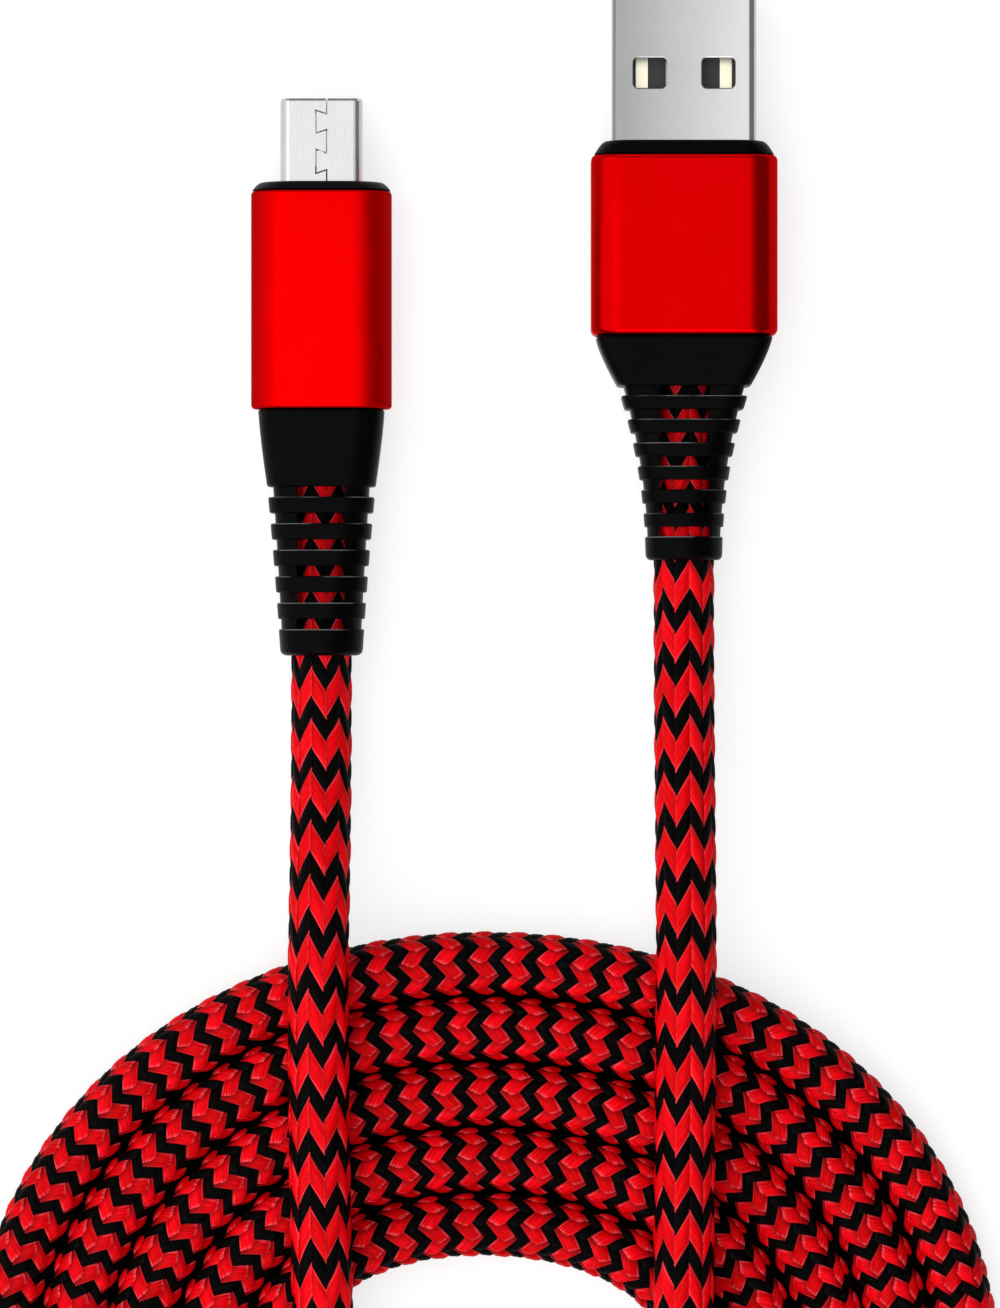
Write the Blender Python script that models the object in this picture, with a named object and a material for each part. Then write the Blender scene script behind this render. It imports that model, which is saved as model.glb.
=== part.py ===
"""A braided charging cable: a USB-A plug, a Micro-B plug and about a metre of 5 mm braided cable between them.

Metres, +Z up. The cable lies on the plane z = 0 and its plugs point along +Y. The origin is the bottom
centre of the two plugs' box. Sizes below are in millimetres, and MM turns them into metres.
"""

import math

import bmesh
import bpy
from mathutils import Vector

MM = 0.001

# Clearances
FACE_GAP = 0.3  # between two lengths of cable or wire that meet end to end
SEAT_GAP = 0.1  # between a collar or a boot and the housing that it closes
FIT_GAP = 0.12  # around a moulded piece in its shell or sleeve
METAL_GAP = 0.05  # around a stamped contact in its slot
SLIT = 0.12  # the open seam of a rolled shell
SEAM_LEAN = 0.15  # how far each step of a seam is undercut
PAST = 1.0  # how far a cutter runs on past what it cuts
PROUD = 0.3  # how far a cutter stands out of the wall that it cuts

# Cable
CABLE_DIAMETER = 5.0
JACKET_DIAMETER = 4.0  # under the braid, which is cut back inside each boot
JACKET_END = 1.0  # from a housing's back to where the braid starts
WIRE_DIAMETER = 0.8
WIRE_SPREAD = 1.1  # between the wires where they enter the cable
BORE_GAP = 0.15  # between the cable and the bore of a boot

# USB-A plug: the metal end is the standard one
A_SHELL_WIDTH = 12.0
A_SHELL_HEIGHT = 4.5
A_SHELL_WALL = 0.3
A_SHELL_RADIUS = 0.7
A_SHELL_REACH = 12.5  # from the collar to the tip
A_SHELL_ROOT = 5.0  # the length held inside the housing
A_SHELL_EDGE = 0.1  # broken off all round the tip
A_SEAM_JOGS = (0.3, 0.42, 0.6, 0.72)  # shares of the shell's length from its tip
A_SEAM_SWING = 0.5
A_WINDOW_WIDTH = 2.75
A_WINDOW_LENGTH = 2.5
A_WINDOW_CENTRE = 2.85
A_WINDOW_SETBACK = 6.88  # from the tip to the middle of a window
A_TONGUE_HEIGHT = 1.85
A_TONGUE_SETBACK = 0.5
A_TONGUE_LENGTH = 9.4
A_TONGUE_CHAMFER = 0.25
A_CONTACT_PLACES = (-3.5, -1.0, 1.0, 3.5)
A_CONTACT_NAMES = ("ground", "data_plus", "data_minus", "power")
A_CONTACT_WIDTH = 1.0
A_CONTACT_THICKNESS = 0.25
A_CONTACT_POWER_SETBACK = 1.2
A_CONTACT_DATA_SETBACK = 2.2
A_CONTACT_PROUD = 0.05
A_CONTACT_TAIL = 1.2
A_HOUSING_WIDTH = 15.5
A_HOUSING_HEIGHT = 8.0
A_HOUSING_LENGTH = 15.0
A_HOUSING_RADIUS = 2.4
A_HOUSING_WALL = 1.0
A_COLLAR_LENGTH = 1.17
A_COLLAR_FRONT_WIDTH = 12.9
A_COLLAR_FRONT_HEIGHT = 6.4
A_COLLAR_INSET = 0.1  # from the housing's side to the collar's
A_BOOT_TAPER = 4.2
A_BOOT_WIDTH = 14.7
A_BOOT_HEIGHT = 7.4
A_BOOT_NECK_HEIGHT = 7.1
A_BOOT_NECK_WIDTH = 11.0
A_BOOT_END_WIDTH = 6.4
A_BOOT_RIBS = 6
A_BOOT_PITCH = 1.95
A_BOOT_GROOVE = 0.8
A_BOOT_END_RING = 1.95
A_BOOT_CURVE = 2.0  # how fast the ribs narrow

# Micro-B plug: the metal end is the standard one
B_SHELL_WIDTH = 6.85
B_SHELL_HEIGHT = 1.8
B_SHELL_NARROW = 5.9
B_SHELL_BEVEL = 0.6
B_SHELL_WALL = 0.22
B_SHELL_ROUND = 0.28  # the corners' rounding on the shell's outside
B_SHELL_TIGHTEN = 0.4  # how much less rounding for each mm inwards
B_SHELL_LEAN = 0.55  # how far the narrow top's corners come in for each mm inwards
B_SHELL_SHARE = 0.35  # how far the shoulders drop for each mm inwards
B_SHELL_REACH = 7.0
B_SHELL_ROOT = 4.0
B_SHELL_EDGE = 0.08  # broken off all round the tip
B_SHELL_EDGE_LENGTH = 0.2
B_SEAM_JOGS = (1.15, 2.75, 4.4, 6.1)  # from the tip
B_SEAM_SWING = 0.45
B_CONTACT_PITCH = 0.65
B_CONTACT_WIDTH = 0.37
B_CONTACT_THICKNESS = 0.12
B_CONTACT_ARM = 4.6
B_CONTACT_BUMP = 0.14
B_CONTACT_BENDS = (0.3, 0.66, 0.8, 0.9)  # shares of the arm
B_CONTACT_COUNT = 5
B_CONTACT_PLACE = 0.4  # above the plug's axis
B_CONTACT_TAIL = 1.1
B_TAIL_GRIP = 1.5  # the length of a solder tail inside the block
B_WIRED_NUMBERS = (1, 2, 3, 5)
B_WIRE_LIFT = 0.6  # wire diameters above or below its tail, by turns
B_BLOCK_SETBACK = 5.6  # from the tip to the insulator block
B_LATCH_PLACE = 2.4
B_LATCH_WIDTH = 0.7
B_LATCH_THICKNESS = 0.18
B_LATCH_ARM = 4.4
B_LATCH_DEPTH = 0.45  # below the plug's axis
ROOT_LENGTH = 0.3  # what a spring arm keeps in its block, behind its hinge line
ROOT_GAP = 0.08
B_LATCH_HOOK_SETBACK = 2.6  # from the tip to the hook's steep face
B_LATCH_HOOK_LENGTH = 0.9
B_LATCH_HOOK_HEIGHT = 0.32  # proud of the shell
B_LATCH_HOOK_TIP = 0.2  # the flat at its point
B_HOUSING_WIDTH = 11.7
B_HOUSING_HEIGHT = 7.4
B_HOUSING_LENGTH = 18.1
B_HOUSING_RADIUS = 3.1
B_HOUSING_WALL = 0.7
B_COLLAR_LENGTH = 0.75
B_COLLAR_FRONT_WIDTH = 9.9
B_COLLAR_FRONT_HEIGHT = 5.8
B_COLLAR_INSET = 0.1
B_BOOT_TAPER = 6.5
B_BOOT_WIDTH = 10.5
B_BOOT_HEIGHT = 7.0
B_BOOT_NECK_HEIGHT = 7.0
B_BOOT_NECK_WIDTH = 9.0
B_BOOT_END_WIDTH = 6.9
B_BOOT_RIBS = 5
B_BOOT_PITCH = 2.2
B_BOOT_GROOVE = 0.85
B_BOOT_END_RING = 2.2
B_BOOT_CURVE = 1.2

# Both boots and the pieces inside both housings
HOUSING_EDGE = 0.35  # the share of its wall that is broken off each rim
BOOT_TAPER_CURVE = 1.3  # over 1, the taper starts gently
BOOT_TAPER_PLACES = (0.35, 0.7)  # shares of the taper
BOOT_WINDOW_WIDTH = 4.2
BOOT_GROOVE_DEEP = 0.5  # from a rib's crest to its groove, beside the housing
BOOT_GROOVE_SHALLOW = 0.2  # the same at the cable's end
BOOT_ROUNDING = 0.2  # at the end that the cable leaves
BOOT_SPIGOT = 3.0  # how far a boot reaches into its housing
COLLAR_SPIGOT = 2.0
CLAMP_LENGTH = 2.4
CLAMP_WALL = 0.2
MOULD_WALL = 0.9

# Lay of the cable, measured from the middle of the coil
PLUG_SPACING = 30.2  # between the axes of the two plugs
HOUSING_STEP = 2.95  # how much further forward the USB-A housing lies
COIL_DROP = 89.4  # from the origin back to the middle of the coil
COIL_SHIFT = -1.2
COIL_START = -0.655  # turns, counted from where the innermost one crosses the top
COIL_END = 4.33
COIL_EASE = 0.45  # the share of a turn in which the drawn-in start opens out
COIL_DRAW_IN = 1.9
COIL_PITCH = 5.45
COIL_INNER_SIDE = 19.0  # half width of the innermost turn that crosses the top
COIL_INNER_TOP = 14.4
COIL_INNER_BOTTOM = 22.3
COIL_POINTS = 24  # for each turn
LAYER_STEP = 5.45  # height from one layer of cable to the next
ROLL_START = 0.055  # turns past the coil's end where the cable starts to climb on its neighbour
ROLL_STEP = 0.02  # turns from one point of the climb to the next
ROLL_FIRST = 10  # degrees round the neighbour at the first point
ROLL_MORE = 17  # degrees more at each point after it
ROLL_COUNT = 5
ROLL_ROOM = 0.15  # more than the pitch, while it climbs
CURVE_STEPS = 24  # for each stretch between two given points
EASING_STEP = 1.0  # the spacing at which the cable's curve is evened out
EASING_PASSES = 24
LEAD_SPACING = 1.4  # between the points of a lead, in diameters
JOINT_STRAIGHT = 0.35  # the straight end of each length of cable inside the coil, in diameters


# ---- materials, meshes and outlines ----

def linear(value):
    share = value / 255
    if share <= 0.04045:
        return share / 12.92
    return ((share + 0.055) / 1.055) ** 2.4


def make_material(name, colour, roughness, metallic=0.0):
    material = bpy.data.materials.new(name)
    material.use_nodes = True
    shader = material.node_tree.nodes["Principled BSDF"]
    shader.inputs["Base Color"].default_value = (*[linear(v) for v in colour], 1)
    shader.inputs["Roughness"].default_value = roughness
    shader.inputs["Metallic"].default_value = metallic
    material.diffuse_color = (*[linear(v) for v in colour], 1)
    return material


def clear_scene():
    for old in list(bpy.data.objects):
        bpy.data.objects.remove(old, do_unlink=True)


def place(name, data, material, parent=None, location=(0, 0, 0)):
    """An object at a place in its parent's frame, in millimetres."""
    data.materials.append(material)
    made = bpy.data.objects.new(name, data)
    bpy.context.scene.collection.objects.link(made)
    made.parent = parent
    made.location = Vector(location) * MM
    return made


def rounded_rect(width, height, radius, y, corner=6):
    """A ring round the Y axis, flat at its full width and height. A circle is one with round corners all round."""
    radius = min(radius, width / 2, height / 2)
    reach = radius / math.cos(math.radians(45 / corner))
    ring = []
    for index, (side, end) in enumerate(((1, 1), (-1, 1), (-1, -1), (1, -1))):
        for step in range(corner):
            angle = math.radians(90 * (index + (step + 0.5) / corner))
            x = side * (width / 2 - radius) + reach * math.cos(angle)
            z = end * (height / 2 - radius) + reach * math.sin(angle)
            ring.append((x, y, z))
    return ring


def circle(radius, y, corner=6):
    return rounded_rect(2 * radius, 2 * radius, radius, y, corner)


def softened(corners, radius, steps):
    """The corner points of a flat outline, each replaced by a short curve."""
    outline = []
    for index, corner in enumerate(corners):
        here = Vector(corner)
        before = Vector(corners[index - 1]) - here
        after = Vector(corners[(index + 1) % len(corners)]) - here
        reach = min(radius, before.length / 2.5, after.length / 2.5)
        start = here + before.normalized() * reach
        end = here + after.normalized() * reach
        for step in range(steps + 1):
            t = step / steps
            outline.append((1 - t) ** 2 * start + 2 * t * (1 - t) * here + t ** 2 * end)
    return outline


def bevelled_ring(inset, y):
    """The Micro-B outline: wide below, narrower on top, brought in by an inset all round.

    It has as many points as a rounded rectangle, and each one faces that shape's point of the same place.
    """
    half = B_SHELL_WIDTH / 2 - inset
    low = -B_SHELL_HEIGHT / 2 + inset
    high = B_SHELL_HEIGHT / 2 - inset
    top = B_SHELL_NARROW / 2 - inset * B_SHELL_LEAN
    shoulder = B_SHELL_HEIGHT / 2 - B_SHELL_BEVEL - inset * B_SHELL_SHARE
    corners = [(half, low), (half, shoulder), (top, high), (-top, high), (-half, shoulder), (-half, low)]
    steps = 3
    outline = softened(corners, B_SHELL_ROUND - inset * B_SHELL_TIGHTEN, steps)
    start = steps + 1 + (steps + 1) // 2
    return [(p.x, y, p.y) for p in outline[start:] + outline[:start]]


def mesh_from(name, vertices, faces, smooth_below=30):
    mesh = bpy.data.meshes.new(name)
    mesh.from_pydata([Vector(v) * MM for v in vertices], [], faces)
    shape = bmesh.new()
    shape.from_mesh(mesh)
    bmesh.ops.recalc_face_normals(shape, faces=shape.faces)
    shape.to_mesh(mesh)
    shape.free()
    mesh.shade_smooth()
    mesh.set_sharp_from_angle(angle=math.radians(smooth_below))
    return mesh


def skin(vertices, faces, rings):
    """Quads from each ring to the next. Returns where the first and last ring start."""
    count = len(rings[0])
    first = len(vertices)
    for ring in rings:
        vertices.extend(ring)
    for row in range(len(rings) - 1):
        low = first + row * count
        for i in range(count):
            j = (i + 1) % count
            faces.append((low + i, low + j, low + count + j, low + count + i))
    return first, first + (len(rings) - 1) * count


def lofted(name, rings):
    """A closed solid through the rings, with flat ends."""
    vertices, faces = [], []
    start, end = skin(vertices, faces, rings)
    count = len(rings[0])
    faces.append(tuple(range(start, start + count)))
    faces.append(tuple(range(end, end + count)))
    return mesh_from(name, vertices, faces)


def hollow(name, outer, inner):
    """A tube with its own outer and inner rings, which meet at its two ends."""
    vertices, faces = [], []
    ends_out = skin(vertices, faces, outer)
    ends_in = skin(vertices, faces, inner)
    count = len(outer[0])
    for a, b in zip(ends_out, ends_in):
        for i in range(count):
            j = (i + 1) % count
            faces.append((a + i, a + j, b + j, b + i))
    return mesh_from(name, vertices, faces)


def boxes(name, spans):
    """Boxes in one mesh, each from its low and high corners."""
    vertices, faces = [], []
    for low, high in spans:
        first = len(vertices)
        vertices += [(x, y, z) for x in (low[0], high[0]) for y in (low[1], high[1]) for z in (low[2], high[2])]
        sides = ((0, 1, 3, 2), (4, 6, 7, 5), (0, 4, 5, 1), (2, 3, 7, 6), (0, 2, 6, 4), (1, 5, 7, 3))
        faces += [tuple(first + corner for corner in side) for side in sides]
    return mesh_from(name, vertices, faces)


def prism(name, outline, low, high):
    """A flat outline in X and Y, raised from one height to another."""
    count = len(outline)
    vertices = [(x, y, low) for x, y in outline] + [(x, y, high) for x, y in outline]
    faces = [tuple(range(count)), tuple(range(count, 2 * count))]
    for i in range(count):
        j = (i + 1) % count
        faces.append((i, j, count + j, count + i))
    return mesh_from(name, vertices, faces)


def cut(target, mesh, parent):
    """Takes the mesh away from the target. The cutter stays in the scene, hidden."""
    cutter = bpy.data.objects.new(mesh.name, mesh)
    bpy.context.scene.collection.objects.link(cutter)
    cutter.parent = parent
    cutter.hide_render = True
    cutter.display_type = "WIRE"
    cutter.hide_set(True)
    change = target.modifiers.new(mesh.name, "BOOLEAN")
    change.operation = "DIFFERENCE"
    change.solver = "EXACT"
    change.object = cutter


def empty(name, location):
    made = bpy.data.objects.new(name, None)
    bpy.context.scene.collection.objects.link(made)
    made.location = Vector(location) * MM
    return made


# ---- pieces that both plugs have ----

def seam_outline(front, back, jogs, swing):
    """A thin slit that runs back along Y and steps from side to side like a puzzle joint."""
    line = []
    side = swing
    places = [front] + list(jogs) + [back]
    for start, end in zip(places, places[1:]):
        line += [Vector((side, start)), Vector((side, end))]
        side = -side
    for first, second in zip(line[1::2], line[2::2]):
        first.y -= SEAM_LEAN
        second.y += SEAM_LEAN
    return beside(line, SLIT / 2) + beside(line, -SLIT / 2)[::-1]


def beside(line, distance):
    """The flat line moved sideways by that distance, with mitred corners."""
    moved = []
    for index, here in enumerate(line):
        before = (here - line[index - 1]).normalized() if index else None
        after = (line[index + 1] - here).normalized() if index + 1 < len(line) else None
        before = before or after
        after = after or before
        normal = Vector((before.y + after.y, -before.x - after.x)).normalized()
        stretch = normal.dot(Vector((after.y, -after.x)))
        moved.append(here + normal * distance / stretch)
    return moved


def make_housing(name, parent, material, width, height, length, radius, wall):
    """An extruded sleeve with both rims broken, open at both ends."""
    chamfer = wall * HOUSING_EDGE
    outer = [
        rounded_rect(width - 2 * chamfer, height - 2 * chamfer, radius - chamfer, 0),
        rounded_rect(width, height, radius, -chamfer),
        rounded_rect(width, height, radius, chamfer - length),
        rounded_rect(width - 2 * chamfer, height - 2 * chamfer, radius - chamfer, -length),
    ]
    inner = [rounded_rect(width - 2 * wall, height - 2 * wall, radius - wall, y) for y in (0, -length)]
    place(name, hollow(name, outer, inner), material, parent)


def make_collar(name, parent, material, housing, front, length, inset, opening):
    """The moulded bezel that closes a housing round the metal shell. opening(y) is its hole's ring."""
    width, height, radius, wall = housing
    base_width = width - 2 * inset
    base_height = height - 2 * inset
    front_width, front_height = front
    plug_width = width - 2 * wall - 2 * FIT_GAP
    plug_height = height - 2 * wall - 2 * FIT_GAP
    outer = [
        rounded_rect(plug_width, plug_height, radius - wall, -COLLAR_SPIGOT),
        rounded_rect(plug_width, plug_height, radius - wall, SEAT_GAP),
        rounded_rect(base_width, base_height, radius - inset, SEAT_GAP),
    ]
    steps = 3
    for step in range(1, steps + 1):
        share = step / steps
        y = SEAT_GAP + (length - SEAT_GAP) * math.sin(share * math.pi / 2)
        ring_width = base_width + (front_width - base_width) * share
        ring_height = base_height + (front_height - base_height) * share
        outer.append(rounded_rect(ring_width, ring_height, radius - inset, y))
    inner = [opening(-COLLAR_SPIGOT), opening(length)]
    place(name, hollow(name, outer, inner), material, parent)


def make_boot(name, parent, material, housing, sizes):
    """The strain relief: a taper, then ribs and grooves with slots through to the cable, round a bore."""
    width, height, radius, wall, length = housing
    start, front_height, neck, neck_height, end, taper, ribs, pitch, groove, end_ring, curve = sizes
    total = taper + ribs * pitch + groove + end_ring
    bore = CABLE_DIAMETER / 2 + BORE_GAP
    jacket_bore = JACKET_DIAMETER / 2 + BORE_GAP

    def section(s, sunk=False):
        """The outline this far behind the housing, on the crests or sunk to the grooves."""
        y = -length - s
        if s <= taper:
            share = (s / taper) ** BOOT_TAPER_CURVE
            wide = start + (neck - start) * share
            high = front_height + (neck_height - front_height) * share
            left = 1.0
        else:
            left = (1 - (s - taper) / (total - taper)) ** curve
            wide = end + (neck - end) * left
            high = end + (neck_height - end) * left
        corner = (radius - wall) * left + end / 2 * (1 - left)
        depth = BOOT_GROOVE_SHALLOW + (BOOT_GROOVE_DEEP - BOOT_GROOVE_SHALLOW) * left if sunk else 0
        return rounded_rect(wide - 2 * depth, high - 2 * depth, corner, y)

    spigot = (width - 2 * wall - 2 * FIT_GAP, height - 2 * wall - 2 * FIT_GAP, radius - wall)
    outer = [rounded_rect(*spigot, BOOT_SPIGOT - length), rounded_rect(*spigot, -length - SEAT_GAP)]
    outer += [section(SEAT_GAP)] + [section(taper * share) for share in BOOT_TAPER_PLACES] + [section(taper)]
    slots = []
    for index in range(ribs + 1):
        near = taper + index * pitch
        far = near + groove
        outer += [section(near, True), section(far, True)]
        outer.append(section(far))
        half = BOOT_WINDOW_WIDTH / 2
        slots.append(((-half, -length - far, -height), (half, -length - near, height)))
        rib_end = near + pitch if index < ribs else total - BOOT_ROUNDING
        outer.append(section(rib_end))
    last = end - 2 * BOOT_ROUNDING
    outer.append(rounded_rect(last, last, last / 2, -length - total))
    step = -length - JACKET_END
    inner = [circle(jacket_bore, BOOT_SPIGOT - length), circle(jacket_bore, step)]
    inner += [circle(bore, step), circle(bore, -length - total)]
    boot = place(name, hollow(name, outer, inner), material, parent)
    cut(boot, boxes(name + "_slots", slots), parent)
    return -length - total


def make_mould(name, parent, material, housing, neck_end, clamp_front, opening):
    """The inner moulding: it grips the shell's root in front and the clamp behind, round the wires."""
    width, height, radius, wall, length = housing
    fit = (width - 2 * wall - 2 * FIT_GAP, height - 2 * wall - 2 * FIT_GAP, radius - wall)
    front = -COLLAR_SPIGOT - SEAT_GAP
    back = BOOT_SPIGOT - length + SEAT_GAP
    outer = [rounded_rect(*fit, y) for y in (front, back)]
    hold = JACKET_DIAMETER / 2 + FIT_GAP + CLAMP_WALL + FIT_GAP
    room = (fit[0] - 2 * MOULD_WALL, fit[1] - 2 * MOULD_WALL, radius - wall)
    inner = [opening(front), opening(neck_end)]
    inner += [rounded_rect(*room, neck_end), rounded_rect(*room, clamp_front)]
    inner += [circle(hold, clamp_front), circle(hold, back)]
    place(name, hollow(name, outer, inner), material, parent)


def make_clamp(name, parent, material, front):
    """A ferrule pressed on the jacket's end."""
    inside = JACKET_DIAMETER / 2 + FIT_GAP
    outer = [circle(inside + CLAMP_WALL, y) for y in (front, front - CLAMP_LENGTH)]
    inner = [circle(inside, y) for y in (front, front - CLAMP_LENGTH)]
    place(name, hollow(name, outer, inner), material, parent)


def make_cable_ends(prefix, parent, looks, housing_length, front, back):
    """The jacket that the clamp holds, and the braided cable that fills the boot behind it."""
    step = -housing_length - JACKET_END
    jacket = lofted(prefix + "_jacket", [circle(JACKET_DIAMETER / 2, y, 3) for y in (front, step)])
    place(prefix + "_jacket", jacket, looks["black"], parent)
    tail = lofted(prefix + "_cable_tail", [circle(CABLE_DIAMETER / 2, y, 4) for y in (step - FACE_GAP, back)])
    place(prefix + "_cable_tail", tail, looks["braid"], parent)


def make_tube(name, parent, material, points, diameter, resolution):
    """A round tube of that diameter through the points, with filled ends."""
    curve = bpy.data.curves.new(name, "CURVE")
    curve.dimensions = "3D"
    curve.twist_mode = "Z_UP"
    curve.bevel_depth = diameter / 2 * MM
    curve.bevel_resolution = resolution
    curve.use_fill_caps = True
    spline = curve.splines.new("POLY")
    spline.points.add(len(points) - 1)
    for spot, point in zip(spline.points, points):
        spot.co = (*(Vector(point) * MM), 1)
    return place(name, curve, material, parent)


def make_wire(name, parent, material, start, end):
    """A wire that leaves a solder tail straight, crosses over and enters the cable straight."""
    span = end[1] - start[1]
    points = []
    for step in range(7):
        t = step / 6
        blend = t * t * (3 - 2 * t)
        x = start[0] + (end[0] - start[0]) * blend
        z = start[2] + (end[2] - start[2]) * blend
        points.append((x, start[1] + span * t, z))
    make_tube(name, parent, material, points, WIRE_DIAMETER, 1)


def wire_ends(count):
    """Where the wires enter the cable, in a square round its axis."""
    ends = []
    for index in range(count):
        side = -1 if index < count / 2 else 1
        lift = 1 if index % 2 else -1
        ends.append((side * WIRE_SPREAD / 2, lift * WIRE_SPREAD / 2))
    return ends


# ---- the USB-A plug, along its own axis, with its housing's front at y = 0 ----

def build_usb_a(plug, looks):
    tip = A_COLLAR_LENGTH + A_SHELL_REACH
    housing = (A_HOUSING_WIDTH, A_HOUSING_HEIGHT, A_HOUSING_RADIUS, A_HOUSING_WALL)
    cavity_width = A_SHELL_WIDTH - 2 * A_SHELL_WALL
    cavity_height = A_SHELL_HEIGHT - 2 * A_SHELL_WALL
    floor = -cavity_height / 2

    def shell_hole(y):
        grown = A_SHELL_RADIUS + FIT_GAP
        return rounded_rect(A_SHELL_WIDTH + 2 * FIT_GAP, A_SHELL_HEIGHT + 2 * FIT_GAP, grown, y)

    make_usb_a_shell(plug, looks["steel"], tip, cavity_width, cavity_height)
    make_usb_a_insulator(plug, looks["insulator"], tip, cavity_width, cavity_height)
    tails = make_usb_a_contacts(plug, looks["gold"], tip, floor + A_TONGUE_HEIGHT)
    make_collar("usb_a_collar", plug, looks["black"], housing,
                (A_COLLAR_FRONT_WIDTH, A_COLLAR_FRONT_HEIGHT), A_COLLAR_LENGTH, A_COLLAR_INSET, shell_hole)
    make_housing("usb_a_housing", plug, looks["red"], A_HOUSING_WIDTH, A_HOUSING_HEIGHT,
                 A_HOUSING_LENGTH, A_HOUSING_RADIUS, A_HOUSING_WALL)
    sizes = (A_BOOT_WIDTH, A_BOOT_HEIGHT, A_BOOT_NECK_WIDTH, A_BOOT_NECK_HEIGHT, A_BOOT_END_WIDTH,
             A_BOOT_TAPER, A_BOOT_RIBS, A_BOOT_PITCH, A_BOOT_GROOVE, A_BOOT_END_RING, A_BOOT_CURVE)
    back = make_boot("usb_a_boot", plug, looks["black"], (*housing, A_HOUSING_LENGTH), sizes)
    clamp_front = BOOT_SPIGOT - A_HOUSING_LENGTH + SEAT_GAP + CLAMP_LENGTH
    make_mould("usb_a_inner_mould", plug, looks["mould"], (*housing, A_HOUSING_LENGTH),
               -A_SHELL_ROOT, clamp_front, shell_hole)
    make_clamp("usb_a_cable_clamp", plug, looks["steel"], clamp_front)
    make_cable_ends("usb_a", plug, looks, A_HOUSING_LENGTH, clamp_front, back)
    for name, tail, end in zip(A_CONTACT_NAMES, tails, wire_ends(len(tails))):
        start = (tail[0], tail[1] - FACE_GAP, tail[2])
        finish = (end[0], clamp_front + FACE_GAP, end[1])
        make_wire("usb_a_wire_" + name, plug, looks["wire_" + name], start, finish)
    return back


def make_usb_a_shell(plug, steel, tip, cavity_width, cavity_height):
    """A rolled steel shell with two windows on each wide side and its open seam underneath."""
    edge = A_SHELL_EDGE
    outer = [
        rounded_rect(A_SHELL_WIDTH - 2 * edge, A_SHELL_HEIGHT - 2 * edge, A_SHELL_RADIUS - edge, tip),
        rounded_rect(A_SHELL_WIDTH, A_SHELL_HEIGHT, A_SHELL_RADIUS, tip - A_SHELL_WALL),
        rounded_rect(A_SHELL_WIDTH, A_SHELL_HEIGHT, A_SHELL_RADIUS, -A_SHELL_ROOT),
    ]
    inner_radius = A_SHELL_RADIUS - A_SHELL_WALL
    inner = [rounded_rect(cavity_width, cavity_height, inner_radius, y) for y in (tip, -A_SHELL_ROOT)]
    shell = place("usb_a_shell", hollow("usb_a_shell", outer, inner), steel, plug)
    middle = tip - A_WINDOW_SETBACK
    windows = []
    for side in (-1, 1):
        for top in (-1, 1):
            x = side * A_WINDOW_CENTRE
            face = A_SHELL_HEIGHT / 2
            spans_z = ((face - A_SHELL_WALL - PROUD / 2) * top, (face + PROUD) * top)
            low = (x - A_WINDOW_WIDTH / 2, middle - A_WINDOW_LENGTH / 2, min(spans_z))
            high = (x + A_WINDOW_WIDTH / 2, middle + A_WINDOW_LENGTH / 2, max(spans_z))
            windows.append((low, high))
    cut(shell, boxes("usb_a_shell_windows", windows), plug)
    length = tip + A_SHELL_ROOT
    jogs = [tip - length * share for share in A_SEAM_JOGS]
    slit = seam_outline(tip + PAST, -A_SHELL_ROOT - PAST, jogs, A_SEAM_SWING)
    below = -A_SHELL_HEIGHT / 2
    cut(shell, prism("usb_a_shell_seam", slit, below - PROUD, below + A_SHELL_WALL + PROUD), plug)


def make_usb_a_insulator(plug, plastic, tip, cavity_width, cavity_height):
    """The tongue that carries the contacts, and the block behind it that fills the shell's root."""
    width = cavity_width - 2 * FIT_GAP
    low = -cavity_height / 2 + FIT_GAP
    tongue_top = -cavity_height / 2 + A_TONGUE_HEIGHT
    block_top = cavity_height / 2 - FIT_GAP
    front = tip - A_TONGUE_SETBACK
    step = front - A_TONGUE_LENGTH
    back = -A_SHELL_ROOT
    chamfer = A_TONGUE_CHAMFER
    side = [(front, low), (front, tongue_top - chamfer), (front - chamfer, tongue_top), (step, tongue_top),
            (step, block_top), (back, block_top), (back, low)]
    count = len(side)
    vertices = [(x, y, z) for x in (-width / 2, width / 2) for y, z in side]
    faces = [tuple(range(count)), tuple(range(count, 2 * count))]
    faces += [(i, (i + 1) % count, count + (i + 1) % count, count + i) for i in range(count)]
    block = place("usb_a_insulator", mesh_from("usb_a_insulator", vertices, faces), plastic, plug)
    slots = []
    for x in A_CONTACT_PLACES:
        half = A_CONTACT_WIDTH / 2 + METAL_GAP
        slot_low = tongue_top + A_CONTACT_PROUD - A_CONTACT_THICKNESS - METAL_GAP
        slot_high = tongue_top + A_CONTACT_PROUD + METAL_GAP
        reach = front - contact_setback(x) + METAL_GAP
        slots.append(((x - half, back - PAST, slot_low), (x + half, reach, slot_high)))
    cut(block, boxes("usb_a_insulator_slots", slots), plug)


def contact_setback(x):
    outermost = max(abs(place_x) for place_x in A_CONTACT_PLACES)
    return A_CONTACT_POWER_SETBACK if abs(x) >= outermost else A_CONTACT_DATA_SETBACK


def make_usb_a_contacts(plug, gold, tip, tongue_top):
    """Four flat strips. Returns where each one's tail ends."""
    tails = []
    for name, x in zip(A_CONTACT_NAMES, A_CONTACT_PLACES):
        front = tip - A_TONGUE_SETBACK - contact_setback(x)
        back = -A_SHELL_ROOT - A_CONTACT_TAIL
        high = tongue_top + A_CONTACT_PROUD
        low = high - A_CONTACT_THICKNESS
        half = A_CONTACT_WIDTH / 2
        strip = boxes("usb_a_contact_" + name, [((x - half, back, low), (x + half, front, high))])
        place("usb_a_contact_" + name, strip, gold, plug)
        tails.append((x, back, (low + high) / 2))
    return tails


# ---- the Micro-B plug, along its own axis, with its housing's front at y = 0 ----

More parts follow.
